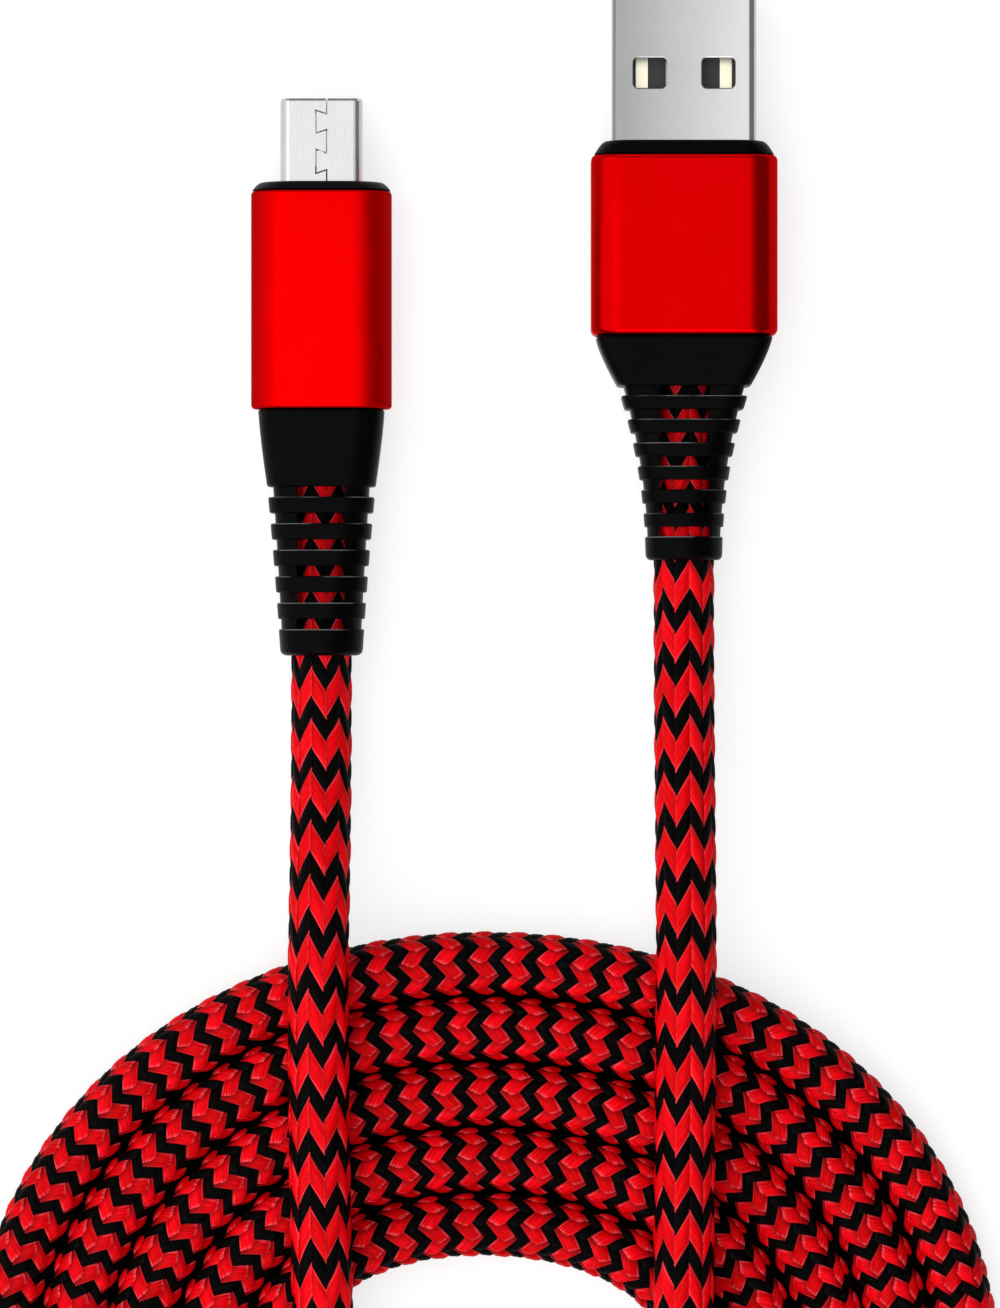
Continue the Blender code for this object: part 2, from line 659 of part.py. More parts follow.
def build_micro(plug, looks):
    tip = B_COLLAR_LENGTH + B_SHELL_REACH
    housing = (B_HOUSING_WIDTH, B_HOUSING_HEIGHT, B_HOUSING_RADIUS, B_HOUSING_WALL)
    block_front = tip - B_BLOCK_SETBACK

    def shell_hole(y):
        return bevelled_ring(-FIT_GAP, y)

    make_micro_shell(plug, looks["steel"], tip)
    make_micro_insulator(plug, looks["insulator"], block_front)
    make_micro_contacts(plug, looks["gold"], block_front)
    make_micro_latches(plug, looks["steel"], tip, block_front)
    tails = make_micro_tails(plug, looks["gold"])
    make_collar("micro_collar", plug, looks["black"], housing,
                (B_COLLAR_FRONT_WIDTH, B_COLLAR_FRONT_HEIGHT), B_COLLAR_LENGTH, B_COLLAR_INSET, shell_hole)
    make_housing("micro_housing", plug, looks["red"], B_HOUSING_WIDTH, B_HOUSING_HEIGHT,
                 B_HOUSING_LENGTH, B_HOUSING_RADIUS, B_HOUSING_WALL)
    sizes = (B_BOOT_WIDTH, B_BOOT_HEIGHT, B_BOOT_NECK_WIDTH, B_BOOT_NECK_HEIGHT, B_BOOT_END_WIDTH,
             B_BOOT_TAPER, B_BOOT_RIBS, B_BOOT_PITCH, B_BOOT_GROOVE, B_BOOT_END_RING, B_BOOT_CURVE)
    back = make_boot("micro_boot", plug, looks["black"], (*housing, B_HOUSING_LENGTH), sizes)
    clamp_front = BOOT_SPIGOT - B_HOUSING_LENGTH + SEAT_GAP + CLAMP_LENGTH
    make_mould("micro_inner_mould", plug, looks["mould"], (*housing, B_HOUSING_LENGTH),
               -B_SHELL_ROOT, clamp_front, shell_hole)
    make_clamp("micro_cable_clamp", plug, looks["steel"], clamp_front)
    make_cable_ends("micro", plug, looks, B_HOUSING_LENGTH, clamp_front, back)
    wired = [tails[index - 1] for index in B_WIRED_NUMBERS]
    names = ("power", "data_minus", "data_plus", "ground")
    for index, (name, tail, end) in enumerate(zip(names, wired, wire_ends(len(wired)))):
        lift = WIRE_DIAMETER * (B_WIRE_LIFT if index % 2 else -B_WIRE_LIFT)
        start = (tail[0], tail[1] - FACE_GAP, tail[2] + lift)
        finish = (end[0], clamp_front + FACE_GAP, end[1])
        make_wire("micro_wire_" + name, plug, looks["wire_" + name], start, finish)
    return back


def make_micro_shell(plug, steel, tip):
    """A rolled shell: its puzzle seam runs down the bevelled side, and two latch slots open below."""
    places = ((B_SHELL_EDGE, tip), (0, tip - B_SHELL_EDGE_LENGTH), (0, -B_SHELL_ROOT))
    outer = [bevelled_ring(inset, y) for inset, y in places]
    inner = [bevelled_ring(B_SHELL_WALL, y) for y in (tip, -B_SHELL_ROOT)]
    shell = place("micro_shell", hollow("micro_shell", outer, inner), steel, plug)
    jogs = [tip - distance for distance in B_SEAM_JOGS]
    slit = seam_outline(tip + PAST, -B_SHELL_ROOT - PAST, jogs, B_SEAM_SWING)
    above = B_SHELL_HEIGHT / 2
    cut(shell, prism("micro_shell_seam", slit, above - B_SHELL_WALL - PROUD, above + PROUD), plug)
    slots = []
    for side in (-1, 1):
        x = side * B_LATCH_PLACE
        half = B_LATCH_WIDTH / 2 + 2 * ROOT_GAP
        near = tip - B_LATCH_HOOK_SETBACK - 2 * ROOT_GAP
        far = near + B_LATCH_HOOK_LENGTH + 4 * ROOT_GAP
        slots.append(((x - half, near, -above - PROUD), (x + half, far, B_SHELL_WALL - above + PROUD)))
    cut(shell, boxes("micro_shell_slots", slots), plug)


def make_micro_insulator(plug, plastic, block_front):
    """The block that fills the shell's root, with a slot for each contact, tail and latch."""
    inset = B_SHELL_WALL + METAL_GAP
    rings = [bevelled_ring(inset, y) for y in (block_front, -B_SHELL_ROOT)]
    block = place("micro_insulator", lofted("micro_insulator", rings), plastic, plug)
    slots = []
    for x in micro_contact_places():
        half = B_CONTACT_WIDTH / 2 + METAL_GAP
        low = B_CONTACT_PLACE - B_CONTACT_THICKNESS / 2 - METAL_GAP
        high = B_CONTACT_PLACE + B_CONTACT_THICKNESS / 2 + METAL_GAP
        root = block_front - 2 * ROOT_LENGTH - ROOT_GAP
        slots.append(((x - half, root, low), (x + half, block_front + PAST, high)))
        slots.append(((x - half, -B_SHELL_ROOT - PAST, low), (x + half, B_TAIL_GRIP - B_SHELL_ROOT, high)))
    for side in (-1, 1):
        x = side * B_LATCH_PLACE
        half = B_LATCH_WIDTH / 2 + ROOT_GAP
        low = -B_LATCH_DEPTH - B_LATCH_THICKNESS / 2 - ROOT_GAP
        high = -B_LATCH_DEPTH + B_LATCH_THICKNESS / 2 + ROOT_GAP
        root = block_front - 2 * ROOT_LENGTH - ROOT_GAP
        slots.append(((x - half, root, low), (x + half, block_front + PAST, high)))
    cut(block, boxes("micro_insulator_slots", slots), plug)


def micro_contact_places():
    middle = (B_CONTACT_COUNT - 1) / 2
    return [(index - middle) * B_CONTACT_PITCH for index in range(B_CONTACT_COUNT)]


def ribbon(name, width, thickness, line):
    """A strip of that width and thickness along a line in Y and Z, round x = 0."""
    rings = []
    for index, (y, z) in enumerate(line):
        before = Vector(line[max(index - 1, 0)])
        after = Vector(line[min(index + 1, len(line) - 1)])
        way = (after - before).normalized()
        up = Vector((way.y, -way.x)) * thickness / 2
        rings.append([(side * width / 2, y + lift * up.x, z + lift * up.y)
                      for side, lift in ((-1, -1), (1, -1), (1, 1), (-1, 1))])
    return lofted(name, rings)


def make_micro_contacts(plug, gold, block_front):
    """Five spring contacts. Each one's origin is on the line where it bends, in the block's mouth."""
    hinge = block_front - ROOT_LENGTH
    for index, x in enumerate(micro_contact_places()):
        name = f"micro_contact_{index + 1}"
        drops = (0, 0, -B_CONTACT_BUMP, -B_CONTACT_BUMP)
        line = [(B_CONTACT_ARM * share, drop) for share, drop in zip(B_CONTACT_BENDS, drops)]
        line = [(-ROOT_LENGTH, 0)] + line + [(B_CONTACT_ARM, 0)]
        strip = ribbon(name, B_CONTACT_WIDTH, B_CONTACT_THICKNESS, line)
        place(name, strip, gold, plug, (x, hinge, B_CONTACT_PLACE))


def make_micro_tails(plug, gold):
    """The flat ends that the wires are soldered to. Returns where each one ends."""
    tails = []
    for index, x in enumerate(micro_contact_places()):
        name = f"micro_solder_tail_{index + 1}"
        half = B_CONTACT_WIDTH / 2
        low = B_CONTACT_PLACE - B_CONTACT_THICKNESS / 2
        high = low + B_CONTACT_THICKNESS
        back = -B_SHELL_ROOT - B_CONTACT_TAIL
        front = B_TAIL_GRIP - B_SHELL_ROOT - METAL_GAP
        place(name, boxes(name, [((x - half, back, low), (x + half, front, high))]), gold, plug)
        tails.append((x, back, B_CONTACT_PLACE))
    return tails


def make_micro_latches(plug, steel, tip, block_front):
    """Two spring arms whose hooks stand out of the shell's wide side. Origins are on their bend lines."""
    hinge = block_front - ROOT_LENGTH
    reach = tip - B_LATCH_HOOK_SETBACK - hinge
    half = B_LATCH_THICKNESS / 2
    point = B_LATCH_DEPTH - B_SHELL_HEIGHT / 2 - B_LATCH_HOOK_HEIGHT
    ramp = reach + B_LATCH_HOOK_LENGTH
    side = [(-ROOT_LENGTH, -half), (reach, -half), (reach, point), (reach + B_LATCH_HOOK_TIP, point), (ramp, -half),
            (B_LATCH_ARM, -half), (B_LATCH_ARM, half), (-ROOT_LENGTH, half)]
    count = len(side)
    for name, x in (("micro_latch_left", -B_LATCH_PLACE), ("micro_latch_right", B_LATCH_PLACE)):
        vertices = [(w, y, z) for w in (-B_LATCH_WIDTH / 2, B_LATCH_WIDTH / 2) for y, z in side]
        faces = [tuple(range(count)), tuple(range(count, 2 * count))]
        faces += [(i, (i + 1) % count, count + (i + 1) % count, count + i) for i in range(count)]
        place(name, mesh_from(name, vertices, faces), steel, plug, (x, hinge, -B_LATCH_DEPTH))


# ---- the cable: an oval spiral on the table, and a lead from each end of it to its plug ----

def coil_point(turn):
    """The spiral's centreline, from the middle of the coil. Whole turns lie at the top of the oval.

    The first part of the innermost turn is drawn in, to leave room for the lead that comes down to it.
    """
    angle = 2 * math.pi * turn + math.pi / 2
    grown = COIL_PITCH * turn
    share = min(max((turn - COIL_START) / COIL_EASE, 0), 1)
    drawn = COIL_DRAW_IN * (1 - share * share * (3 - 2 * share))
    side = COIL_INNER_SIDE + grown - drawn
    top = COIL_INNER_TOP + grown - drawn
    bottom = COIL_INNER_BOTTOM + grown - drawn
    low_share = (1 - math.sin(angle)) / 2
    deep = top + (bottom - top) * low_share
    return Vector((side * math.cos(angle), deep * math.sin(angle), CABLE_DIAMETER / 2))


def coil_way(turn):
    """The direction that the cable runs in there."""
    step = 0.002
    return (coil_point(turn + step) - coil_point(turn - step)).normalized()


def coil_route():
    """All the turns, as points at even steps of the angle."""
    steps = round((COIL_END - COIL_START) * COIL_POINTS)
    turns = [COIL_START + (COIL_END - COIL_START) * index / steps for index in range(steps + 1)]
    return [coil_point(turn) for turn in turns]


def smooth_line(points):
    """Closely spaced points on one smooth curve that follows the given ones and keeps a straight start and end."""
    dense = []
    ends = [points[0] * 2 - points[1]] + points + [points[-1] * 2 - points[-2]]
    for before, start, end, after in zip(ends, ends[1:], ends[2:], ends[3:]):
        for step in range(CURVE_STEPS):
            t = step / CURVE_STEPS
            dense.append(
                (start * 2 + (end - before) * t + (before * 2 - start * 5 + end * 4 - after) * t ** 2
                 + (start * 3 - before - end * 3 + after) * t ** 3) / 2
            )
    line = evenly_spaced(dense + [points[-1]], EASING_STEP)
    held = round(CABLE_DIAMETER / EASING_STEP)
    for _ in range(EASING_PASSES):
        inner = [(a + b * 2 + c) / 4 for a, b, c in zip(line[held - 1:], line[held:], line[held + 1:])]
        line[held:-held] = inner[:len(line) - 2 * held]
    return line


def evenly_spaced(line, spacing):
    lengths = [0.0]
    for a, b in zip(line, line[1:]):
        lengths.append(lengths[-1] + (b - a).length)
    count = round(lengths[-1] / spacing)
    spread, seat = [], 0
    for index in range(count + 1):
        wanted = lengths[-1] * index / count
        while seat < len(line) - 2 and lengths[seat + 1] < wanted:
            seat += 1
        share = (wanted - lengths[seat]) / (lengths[seat + 1] - lengths[seat])
        spread.append(line[seat].lerp(line[seat + 1], share))
    return spread


def micro_lead_points(exit_point):
    """From the Micro-B boot over the top of the coil and down inside it."""
    top = CABLE_DIAMETER / 2 + LAYER_STEP
    x = exit_point.x
    over = [
        Vector((x - 0.1, 40.5, top - 0.15)), Vector((x - 0.2, 33, top)), Vector((x - 0.1, 24, top)),
        Vector((x, 16, top)), Vector((x + 0.1, 10.5, top + 0.4)), Vector((x + 0.3, 5.5, top - 0.4)),
        Vector((x + 0.75, -0.8, top - 3.6)),
    ]
    down = exit_point + Vector((0, -CABLE_DIAMETER, 0))
    climb = Vector((x, exit_point.y - 13, exit_point.z + 1.9))
    return [exit_point, down, climb] + over


def over_turn(turn, lift):
    """Beside or on the turn inside this one, rolled round it by an angle from its outer side."""
    inside = coil_point(turn - 1)
    outward = Vector((coil_way(turn - 1).y, -coil_way(turn - 1).x, 0))
    angle = math.radians(lift)
    return inside + (outward * math.cos(angle) + Vector((0, 0, math.sin(angle)))) * (COIL_PITCH + ROLL_ROOM)


def usb_a_lead_points(exit_point):
    """From the outermost turn up onto its neighbour, across the bottom turns and back up over the top."""
    top = CABLE_DIAMETER / 2 + LAYER_STEP
    x = exit_point.x
    rolled = [over_turn(COIL_END + ROLL_START + ROLL_STEP * step, ROLL_FIRST + ROLL_MORE * step)
              for step in range(ROLL_COUNT)]
    across = [
        Vector((0.5, -40.4, top)), Vector((7.6, -36.8, top)), Vector((12.6, -30.8, top)),
        Vector((x - 0.5, -22, top)), Vector((x - 0.3, -11, top)), Vector((x - 0.2, 0, top)),
        Vector((x - 0.1, 12, top)), Vector((x, 25, top)), Vector((x + 0.1, 34, top)),
        Vector((x + 0.1, 40.5, top - 0.15)),
    ]
    leave = exit_point + Vector((0, -CABLE_DIAMETER, 0))
    drop = Vector((x, exit_point.y - 14, exit_point.z + 1.9))
    return rolled + across + [drop, leave, exit_point]


def least_gap(route, diameter):
    """The least space between parts of one tube that are over half a turn apart along it."""
    apart = COIL_POINTS // 2
    least = math.inf
    for i, here in enumerate(route):
        for j in range(i + apart, len(route) - 1):
            run = route[j + 1] - route[j]
            share = min(max((here - route[j]).dot(run) / run.length_squared, 0), 1)
            least = min(least, (here - route[j] - run * share).length - diameter)
    return least


def route_length(route):
    return sum((b - a).length for a, b in zip(route, route[1:]))


def nearest(line, spot):
    """The index of the line's point that lies nearest to a spot."""
    return min(range(len(line)), key=lambda index: (line[index] - spot).length_squared)


def cable_routes(micro_end, usb_a_end):
    """The centrelines of the three lengths of one cable: a lead, the coil and the other lead.

    Where two lengths meet, both run straight for a little, so that their faces lie flat to each other.
    """
    turns = coil_route()
    line = smooth_line(micro_lead_points(micro_end) + turns + usb_a_lead_points(usb_a_end))
    seats = [nearest(line, turn) for turn in turns]
    first, last = seats[0], seats[-1]
    straight = round(CABLE_DIAMETER / EASING_STEP)
    joint = JOINT_STRAIGHT * CABLE_DIAMETER
    room = math.ceil(joint / EASING_STEP) + 1
    spacing = LEAD_SPACING * CABLE_DIAMETER
    start_way = (line[first + 1] - line[first - 1]).normalized()
    end_way = (line[last + 1] - line[last - 1]).normalized()
    micro_lead = [line[0]] + evenly_spaced(line[straight:first - room], spacing)
    micro_lead += [line[first] - start_way * joint, line[first] - start_way * FACE_GAP]
    coil = [line[first], line[first] + start_way * joint] + [line[seat] for seat in seats[1:-1]]
    coil += [line[last] - end_way * joint, line[last]]
    usb_a_lead = [line[last] + end_way * FACE_GAP, line[last] + end_way * joint]
    usb_a_lead += evenly_spaced(line[last + room:-straight], spacing) + [line[-1]]
    return micro_lead, coil, usb_a_lead


def build_cable(looks, micro_exit, usb_a_exit):
    middle = Vector((COIL_SHIFT, -COIL_DROP, 0))
    coil = empty("coil_middle", middle)
    micro_end = Vector(micro_exit) - middle - Vector((0, FACE_GAP, 0))
    usb_a_end = Vector(usb_a_exit) - middle - Vector((0, FACE_GAP, 0))
    micro_lead, turns, usb_a_lead = cable_routes(micro_end, usb_a_end)
    make_tube("micro_lead", coil, looks["braid"], micro_lead, CABLE_DIAMETER, 2)
    make_tube("cable_coil", coil, looks["braid"], turns, CABLE_DIAMETER, 1)
    make_tube("usb_a_lead", coil, looks["braid"], usb_a_lead, CABLE_DIAMETER, 2)
    whole = micro_lead + turns + usb_a_lead
    print(f"least gap of the coil to itself: {least_gap(turns, CABLE_DIAMETER):.2f} mm")
    print(f"least gap of the cable to itself: {least_gap(whole, CABLE_DIAMETER):.2f} mm")
    print(f"cable between the boots: {route_length(whole):.0f} mm")


def build():
    clear_scene()
    looks = {
        "steel": make_material("brushed_steel", (205, 205, 207), 0.28, 1.0),
        "gold": make_material("gold_plate", (236, 214, 160), 0.25, 1.0),
        "insulator": make_material("black_nylon", (28, 28, 30), 0.55),
        "black": make_material("black_rubber", (10, 10, 10), 0.5),
        "mould": make_material("white_polythene", (225, 225, 218), 0.6),
        "red": make_material("red_anodised", (216, 0, 8), 0.35, 0.3),
        "braid": make_material("red_and_black_braid", (150, 6, 10), 0.75),
        "wire_power": make_material("wire_red", (200, 20, 20), 0.5),
        "wire_ground": make_material("wire_black", (20, 20, 20), 0.5),
        "wire_data_plus": make_material("wire_green", (20, 140, 60), 0.5),
        "wire_data_minus": make_material("wire_white", (230, 230, 230), 0.5),
    }
    front = A_COLLAR_LENGTH + A_SHELL_REACH
    behind = B_HOUSING_LENGTH + B_BOOT_TAPER + B_BOOT_RIBS * B_BOOT_PITCH + B_BOOT_GROOVE + B_BOOT_END_RING
    usb_a_front = (behind + HOUSING_STEP - front) / 2
    balance = (B_HOUSING_WIDTH - A_HOUSING_WIDTH) / 4
    usb_a_place = Vector((PLUG_SPACING / 2 + balance, usb_a_front, A_HOUSING_HEIGHT / 2))
    micro_place = Vector((-PLUG_SPACING / 2 + balance, usb_a_front - HOUSING_STEP, B_HOUSING_HEIGHT / 2))
    usb_a_plug = empty("usb_a_plug", usb_a_place)
    micro_plug = empty("micro_plug", micro_place)
    usb_a_back = build_usb_a(usb_a_plug, looks)
    micro_back = build_micro(micro_plug, looks)
    micro_exit = micro_place + Vector((0, micro_back, 0))
    usb_a_exit = usb_a_place + Vector((0, usb_a_back, 0))
    build_cable(looks, micro_exit, usb_a_exit)


build()
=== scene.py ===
"""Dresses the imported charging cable: a braided cord in a coil between two red metal plugs."""

import math
from itertools import accumulate

import bmesh
import bpy
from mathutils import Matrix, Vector
from mathutils.kdtree import KDTree


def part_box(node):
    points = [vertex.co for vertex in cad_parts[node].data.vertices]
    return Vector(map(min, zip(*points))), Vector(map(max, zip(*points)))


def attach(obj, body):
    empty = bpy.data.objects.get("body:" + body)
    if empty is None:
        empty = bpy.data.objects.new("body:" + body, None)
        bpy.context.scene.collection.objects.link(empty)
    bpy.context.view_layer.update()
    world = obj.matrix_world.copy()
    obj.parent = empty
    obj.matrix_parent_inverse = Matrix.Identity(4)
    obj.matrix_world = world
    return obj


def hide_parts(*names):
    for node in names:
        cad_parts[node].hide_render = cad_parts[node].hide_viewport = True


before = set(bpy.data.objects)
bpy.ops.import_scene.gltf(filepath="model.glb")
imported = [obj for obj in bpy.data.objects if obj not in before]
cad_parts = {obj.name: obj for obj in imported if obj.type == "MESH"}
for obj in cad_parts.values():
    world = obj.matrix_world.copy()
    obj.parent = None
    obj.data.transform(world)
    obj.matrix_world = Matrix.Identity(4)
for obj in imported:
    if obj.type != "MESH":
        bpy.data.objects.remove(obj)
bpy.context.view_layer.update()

MM = 0.001

# ---- the picture ----
PICTURE_MIDDLE = (-1.17, -27.5, 4.0)  # mm
PICTURE_HEIGHT = 109.0  # mm on the table that the long side shows
LENS = 200.0
SENSOR = 36.0
WHITE = (1, 1, 1)
ROOM_LIGHT = 0.25  # the camera itself sees the room white
TABLE_GREY = (0.4, 0.4, 0.4)
TABLE_GLOW = 0.68  # lifts the table to white where the camera or a mirror sees it
TABLE_REACH = 1.2  # m
LAMPS = [  # place, size and radiance, in metres
    ("main_softbox", (-0.5, 0.0, 0.865), 2.0, 1.3),
    ("left_softbox", (-0.99, 0.0, 0.16), 0.3, 1.0),
    ("stripe_softbox", (-0.24, 0.0, 0.77), 0.16, 1.1),
    ("front_softbox", (0.05, -0.62, 0.45), 0.5, 2.4),
    ("back_softbox", (0.0, 0.75, 0.16), 0.25, 2.5),
]

# ---- the cable's route, as in the part's source, in mm ----
CABLE_DIAMETER = 5.0
FACE_GAP = 0.3
JACKET_END = 1.0
COIL_MIDDLE = (-1.2, -89.4)
COIL_START = -0.655
COIL_END = 4.33
COIL_EASE = 0.45
COIL_DRAW_IN = 1.9
COIL_PITCH = 5.45
COIL_INNER_SIDE = 19.0
COIL_INNER_TOP = 14.4
COIL_INNER_BOTTOM = 22.3
COIL_POINTS = 24
SECOND_LAYER = CABLE_DIAMETER / 2 + 5.45
CLIMB = 1.9
# Points of the leads: how far to the side of the boot, how far up the picture, how far above the second layer.
MICRO_WAY = ((-0.1, 40.5, -0.15), (-0.2, 33, 0), (-0.1, 24, 0), (0, 16, 0), (0.1, 10.5, 0.4), (0.3, 5.5, -0.4),
             (0.75, -0.8, -3.6))
USB_A_WAY = ((-0.5, -22, 0), (-0.3, -11, 0), (-0.2, 0, 0), (-0.1, 12, 0), (0, 25, 0), (0.1, 34, 0),
             (0.1, 40.5, -0.15))
USB_A_CROSSING = ((0.5, -40.4), (7.6, -36.8), (12.6, -30.8))
ROLL = [(0.055 + 0.02 * step, 10 + 17 * step) for step in range(5)]  # turns past the coil's end, degrees of lift
ROLL_ROOM = 0.15
NEARBY = 0.002  # turns, to find the coil's direction
DENSE_STEPS = 24  # between two given points of the route
EASING_STEP = 1.0
EASING_PASSES = 24

# ---- the braid, in mm and degrees ----
LIMBS = 12  # round the cable, leaning one way and the other by turns
COIL_BAND = 2.83  # along the cable, from one red band to the next
LEAD_BAND = 4.5  # the same where the braid is drawn out beside the plugs
COIL_RISE = 0.37  # how far a limb climbs, in bands
COIL_RADIUS = 2.7  # to the crowns of the yarns
LEAD_RADIUS = 2.56
LEAD_RISE = 0.45
STATIONS = 4  # points of the route for each band
BAND_CHANGE = 26.0  # the length over which the band changes
# The core's keels reach out to touching turns, a dark filler that stands in for the shade between them.
CORE_RADIUS = 2.25
CORE_SIDE = 2.42  # to its sides
CORE_SIDES = 24
KEEL_POWER = 40  # how narrow its keels are
KEEL_OVERLAP = 0.01
KEEL_PASSES = 6
SAME_LAYER = 1.0
TIGHT = 0.02  # how far on the coil the braid counts as the coil's
# Grid of a float, widths in bands, how deep the black lies, crown.
COIL_FLOATS = ((4, 6), {"red": 0.58, "black": 0.49}, 0.07, 0.3)
LEAD_FLOATS = ((5, 8), {"red": 0.56, "black": 0.5}, 0.03, 0.26)
UNEVENNESS = 0.02
TUCK = 0.09
TOUCHING = 6.2  # between the middles of turns that lie against each other, at most
SQUARE_END = 0.5  # how far one side of a float reaches past the other, in limbs, where the braid lies tight
TONE_SPREAD = 0.3  # how much the floats' brightness differs by chance
CROWN_POWER = 2.6  # how flat a float's crown is
START_HEIGHT = 0.45  # a float's share of the crown where it comes up from under its neighbour
RISEN_AT = -0.32  # where it has come up whole, from -0.5 to 0.5 along it
PAINTED_LEAN_SHADE = -0.18  # painted shade: how much brighter the limbs that lean one way are painted than the others, where the braid lies tight
TWIST_MICRO = 5.7
TWIST_COIL = 23.0
TWIST_USB_A = 26.5

# ---- the plugs' mouldings and metal, as in the part's source, in mm ----
# Width, height, length, corner, wall.
HOUSINGS = {"usb_a": (15.5, 8.0, 15.0, 2.4, 1.0), "micro": (11.7, 7.4, 18.1, 3.1, 0.7)}
HOUSING_RIMS = {"usb_a": (0.45, 0.55), "micro": (0.3, 0.3)}  # how far the front and the back rim are rounded over
# Length, width and height in front, inset behind.
COLLARS = {"usb_a": (1.17, 12.9, 6.4, 0.3), "micro": (0.75, 9.9, 5.8, 0.1)}
BOOTS = {  # width and height in front, at the neck and at the end, taper, ribs, pitch, groove, end ring, curve
    "usb_a": (14.7, 7.4, 11.0, 7.1, 6.4, 4.2, 6, 1.95, 0.8, 1.95, 2.0),
    "micro": (10.5, 7.0, 9.0, 7.0, 6.9, 6.5, 5, 2.2, 0.85, 2.2, 1.2),
}
GROOVE_FRONT = 0.5
GROOVE_END = 0.2
RIB_ROUND = 0.13
RIB_WALL = 0.02
ROUND_SHARE = 0.45  # how deep a rib's edge is rounded, in depths of its groove
GLINT_AND_WEAR_SPAN = (0.13, 0.5)  # where on its rounding a rib gets its painted glint, grey like scuffing
SLOT_WIDTHS = {"usb_a": 4.2, "micro": 4.0}
SLOT_CORNER = 0.22
END_ROUNDS = {"usb_a": 0.42, "micro": 0.62}  # how far each end ring is rounded over
END_ROUND_LENGTH = 0.5
TAPER_CURVE = 1.3
TAPER_STEPS = 8
BOOT_FRONT = ((0.1, 0.15), (0.14, 0.05), (0.22, 0.0))  # how far back, and how far in, the front edge is rounded
SLOT_EDGE = 0.03
SPIGOT_DEPTH = 3.0  # of a boot in its housing
COLLAR_DEPTH = 2.0
COLLAR_STEPS = 8
JACKET_DIAMETER = 4.0
BORE_ROOM = 0.15
FIT_GAP = 0.12
SEAT_GAP = 0.1
HOLD = 0.5  # from a round corner to the points that keep the light even on the flat beside it
STEEL_SHELL = (12.0, 4.5, 0.7, 0.3, 13.67, -5.0)  # width, height, corner, wall, tip, root
SHELL_EDGE = 0.12
MICRO_SHELL = (3.425, 0.9, 2.95, 0.3, 0.28)  # half its width, height and top, the flanks' start, corner
SEAM_JOGS = (0.3, 0.42, 0.6, 0.72)  # shares of the shell's length
SEAM_SWING = 0.5
SEAM_PAST = 1.0  # how far its cutter reaches past both ends
SEAM_DEPTH = (-0.3, 0.6)  # from the shell's underside
SEAM_SLANT = 0.15
SLIT = 0.12
WINDOW_EDGE = 0.1
WINDOW_DEEPER = 0.2  # how far the windows' cutters reach past the wall
WINDOW = (2.75, 2.5, 6.88, 2.85, 0.4)  # width, length, from the tip, from the axis, corner


# ---- the route ----

def coil_point(turn):
    """The spiral's centreline, from the middle of the coil. Whole turns lie at the top of the oval."""
    angle = 2 * math.pi * turn + math.pi / 2
    grown = COIL_PITCH * turn
    drawn = COIL_DRAW_IN * (1 - eased((turn - COIL_START) / COIL_EASE))
    side, top, bottom = (inner + grown - drawn for inner in (COIL_INNER_SIDE, COIL_INNER_TOP, COIL_INNER_BOTTOM))
    deep = top + (bottom - top) * (1 - math.sin(angle)) / 2
    return Vector((side * math.cos(angle), deep * math.sin(angle), CABLE_DIAMETER / 2))


def coil_route():
    steps = round((COIL_END - COIL_START) * COIL_POINTS)
    turns = [COIL_START + (COIL_END - COIL_START) * index / steps for index in range(steps + 1)]
    return [coil_point(turn) for turn in turns]


def leaving(exit_point, back):
    """The points by which the cable leaves a boot and climbs."""
    return [exit_point, exit_point - Vector((0, CABLE_DIAMETER, 0)), exit_point + Vector((0, -back, CLIMB))]


def micro_lead_points(exit_point):
    """From the Micro-B boot over the top of the coil and down inside it."""
    return leaving(exit_point, 13) + [Vector((exit_point.x + x, y, SECOND_LAYER + z)) for x, y, z in MICRO_WAY]


def over_turn(turn, lift):
    """Beside or on the turn inside this one, rolled round it by an angle from its outer side."""
    inside = coil_point(turn - 1)
    way = (coil_point(turn - 1 + NEARBY) - coil_point(turn - 1 - NEARBY)).normalized()
    outward = Vector((way.y, -way.x, 0))
    angle = math.radians(lift)
    return inside + (outward * math.cos(angle) + Vector((0, 0, math.sin(angle)))) * (COIL_PITCH + ROLL_ROOM)


def usb_a_lead_points(exit_point):
    """From the outermost turn up onto its neighbour, across the bottom turns and back up over the top."""
    points = [over_turn(COIL_END + turn, lift) for turn, lift in ROLL]
    points += [Vector((x, y, SECOND_LAYER)) for x, y in USB_A_CROSSING]
    points += [Vector((exit_point.x + x, y, SECOND_LAYER + z)) for x, y, z in USB_A_WAY]
    return points + leaving(exit_point, 14)[::-1]


def evenly_spaced(line, spacing):
    lengths = lengths_along(line)
    count = round(lengths[-1] / spacing)
    spread, seat = [], 0
    for index in range(count + 1):
        point, seat = at_length(line, lengths, lengths[-1] * index / count, seat)
        spread.append(point)
    return spread


def smooth_line(points, held):
    """Points 1 mm apart on one smooth curve through the given ones. The first and last few are held."""
    dense = []
    ends = [points[0] * 2 - points[1]] + points + [points[-1] * 2 - points[-2]]
    for before, start, end, after in zip(ends, ends[1:], ends[2:], ends[3:]):
        for step in range(DENSE_STEPS):
            t = step / DENSE_STEPS
            dense.append(
                (start * 2 + (end - before) * t + (before * 2 - start * 5 + end * 4 - after) * t ** 2
                 + (start * 3 - before - end * 3 + after) * t ** 3) / 2
            )
    line = evenly_spaced(dense + [points[-1]], EASING_STEP)
    for _ in range(EASING_PASSES):
        inner = [(a + b * 2 + c) / 4 for a, b, c in zip(line[held - 1:-2], line[held:-1], line[held + 1:])]
        line[held:-held] = inner[:len(line) - 2 * held]
    return line


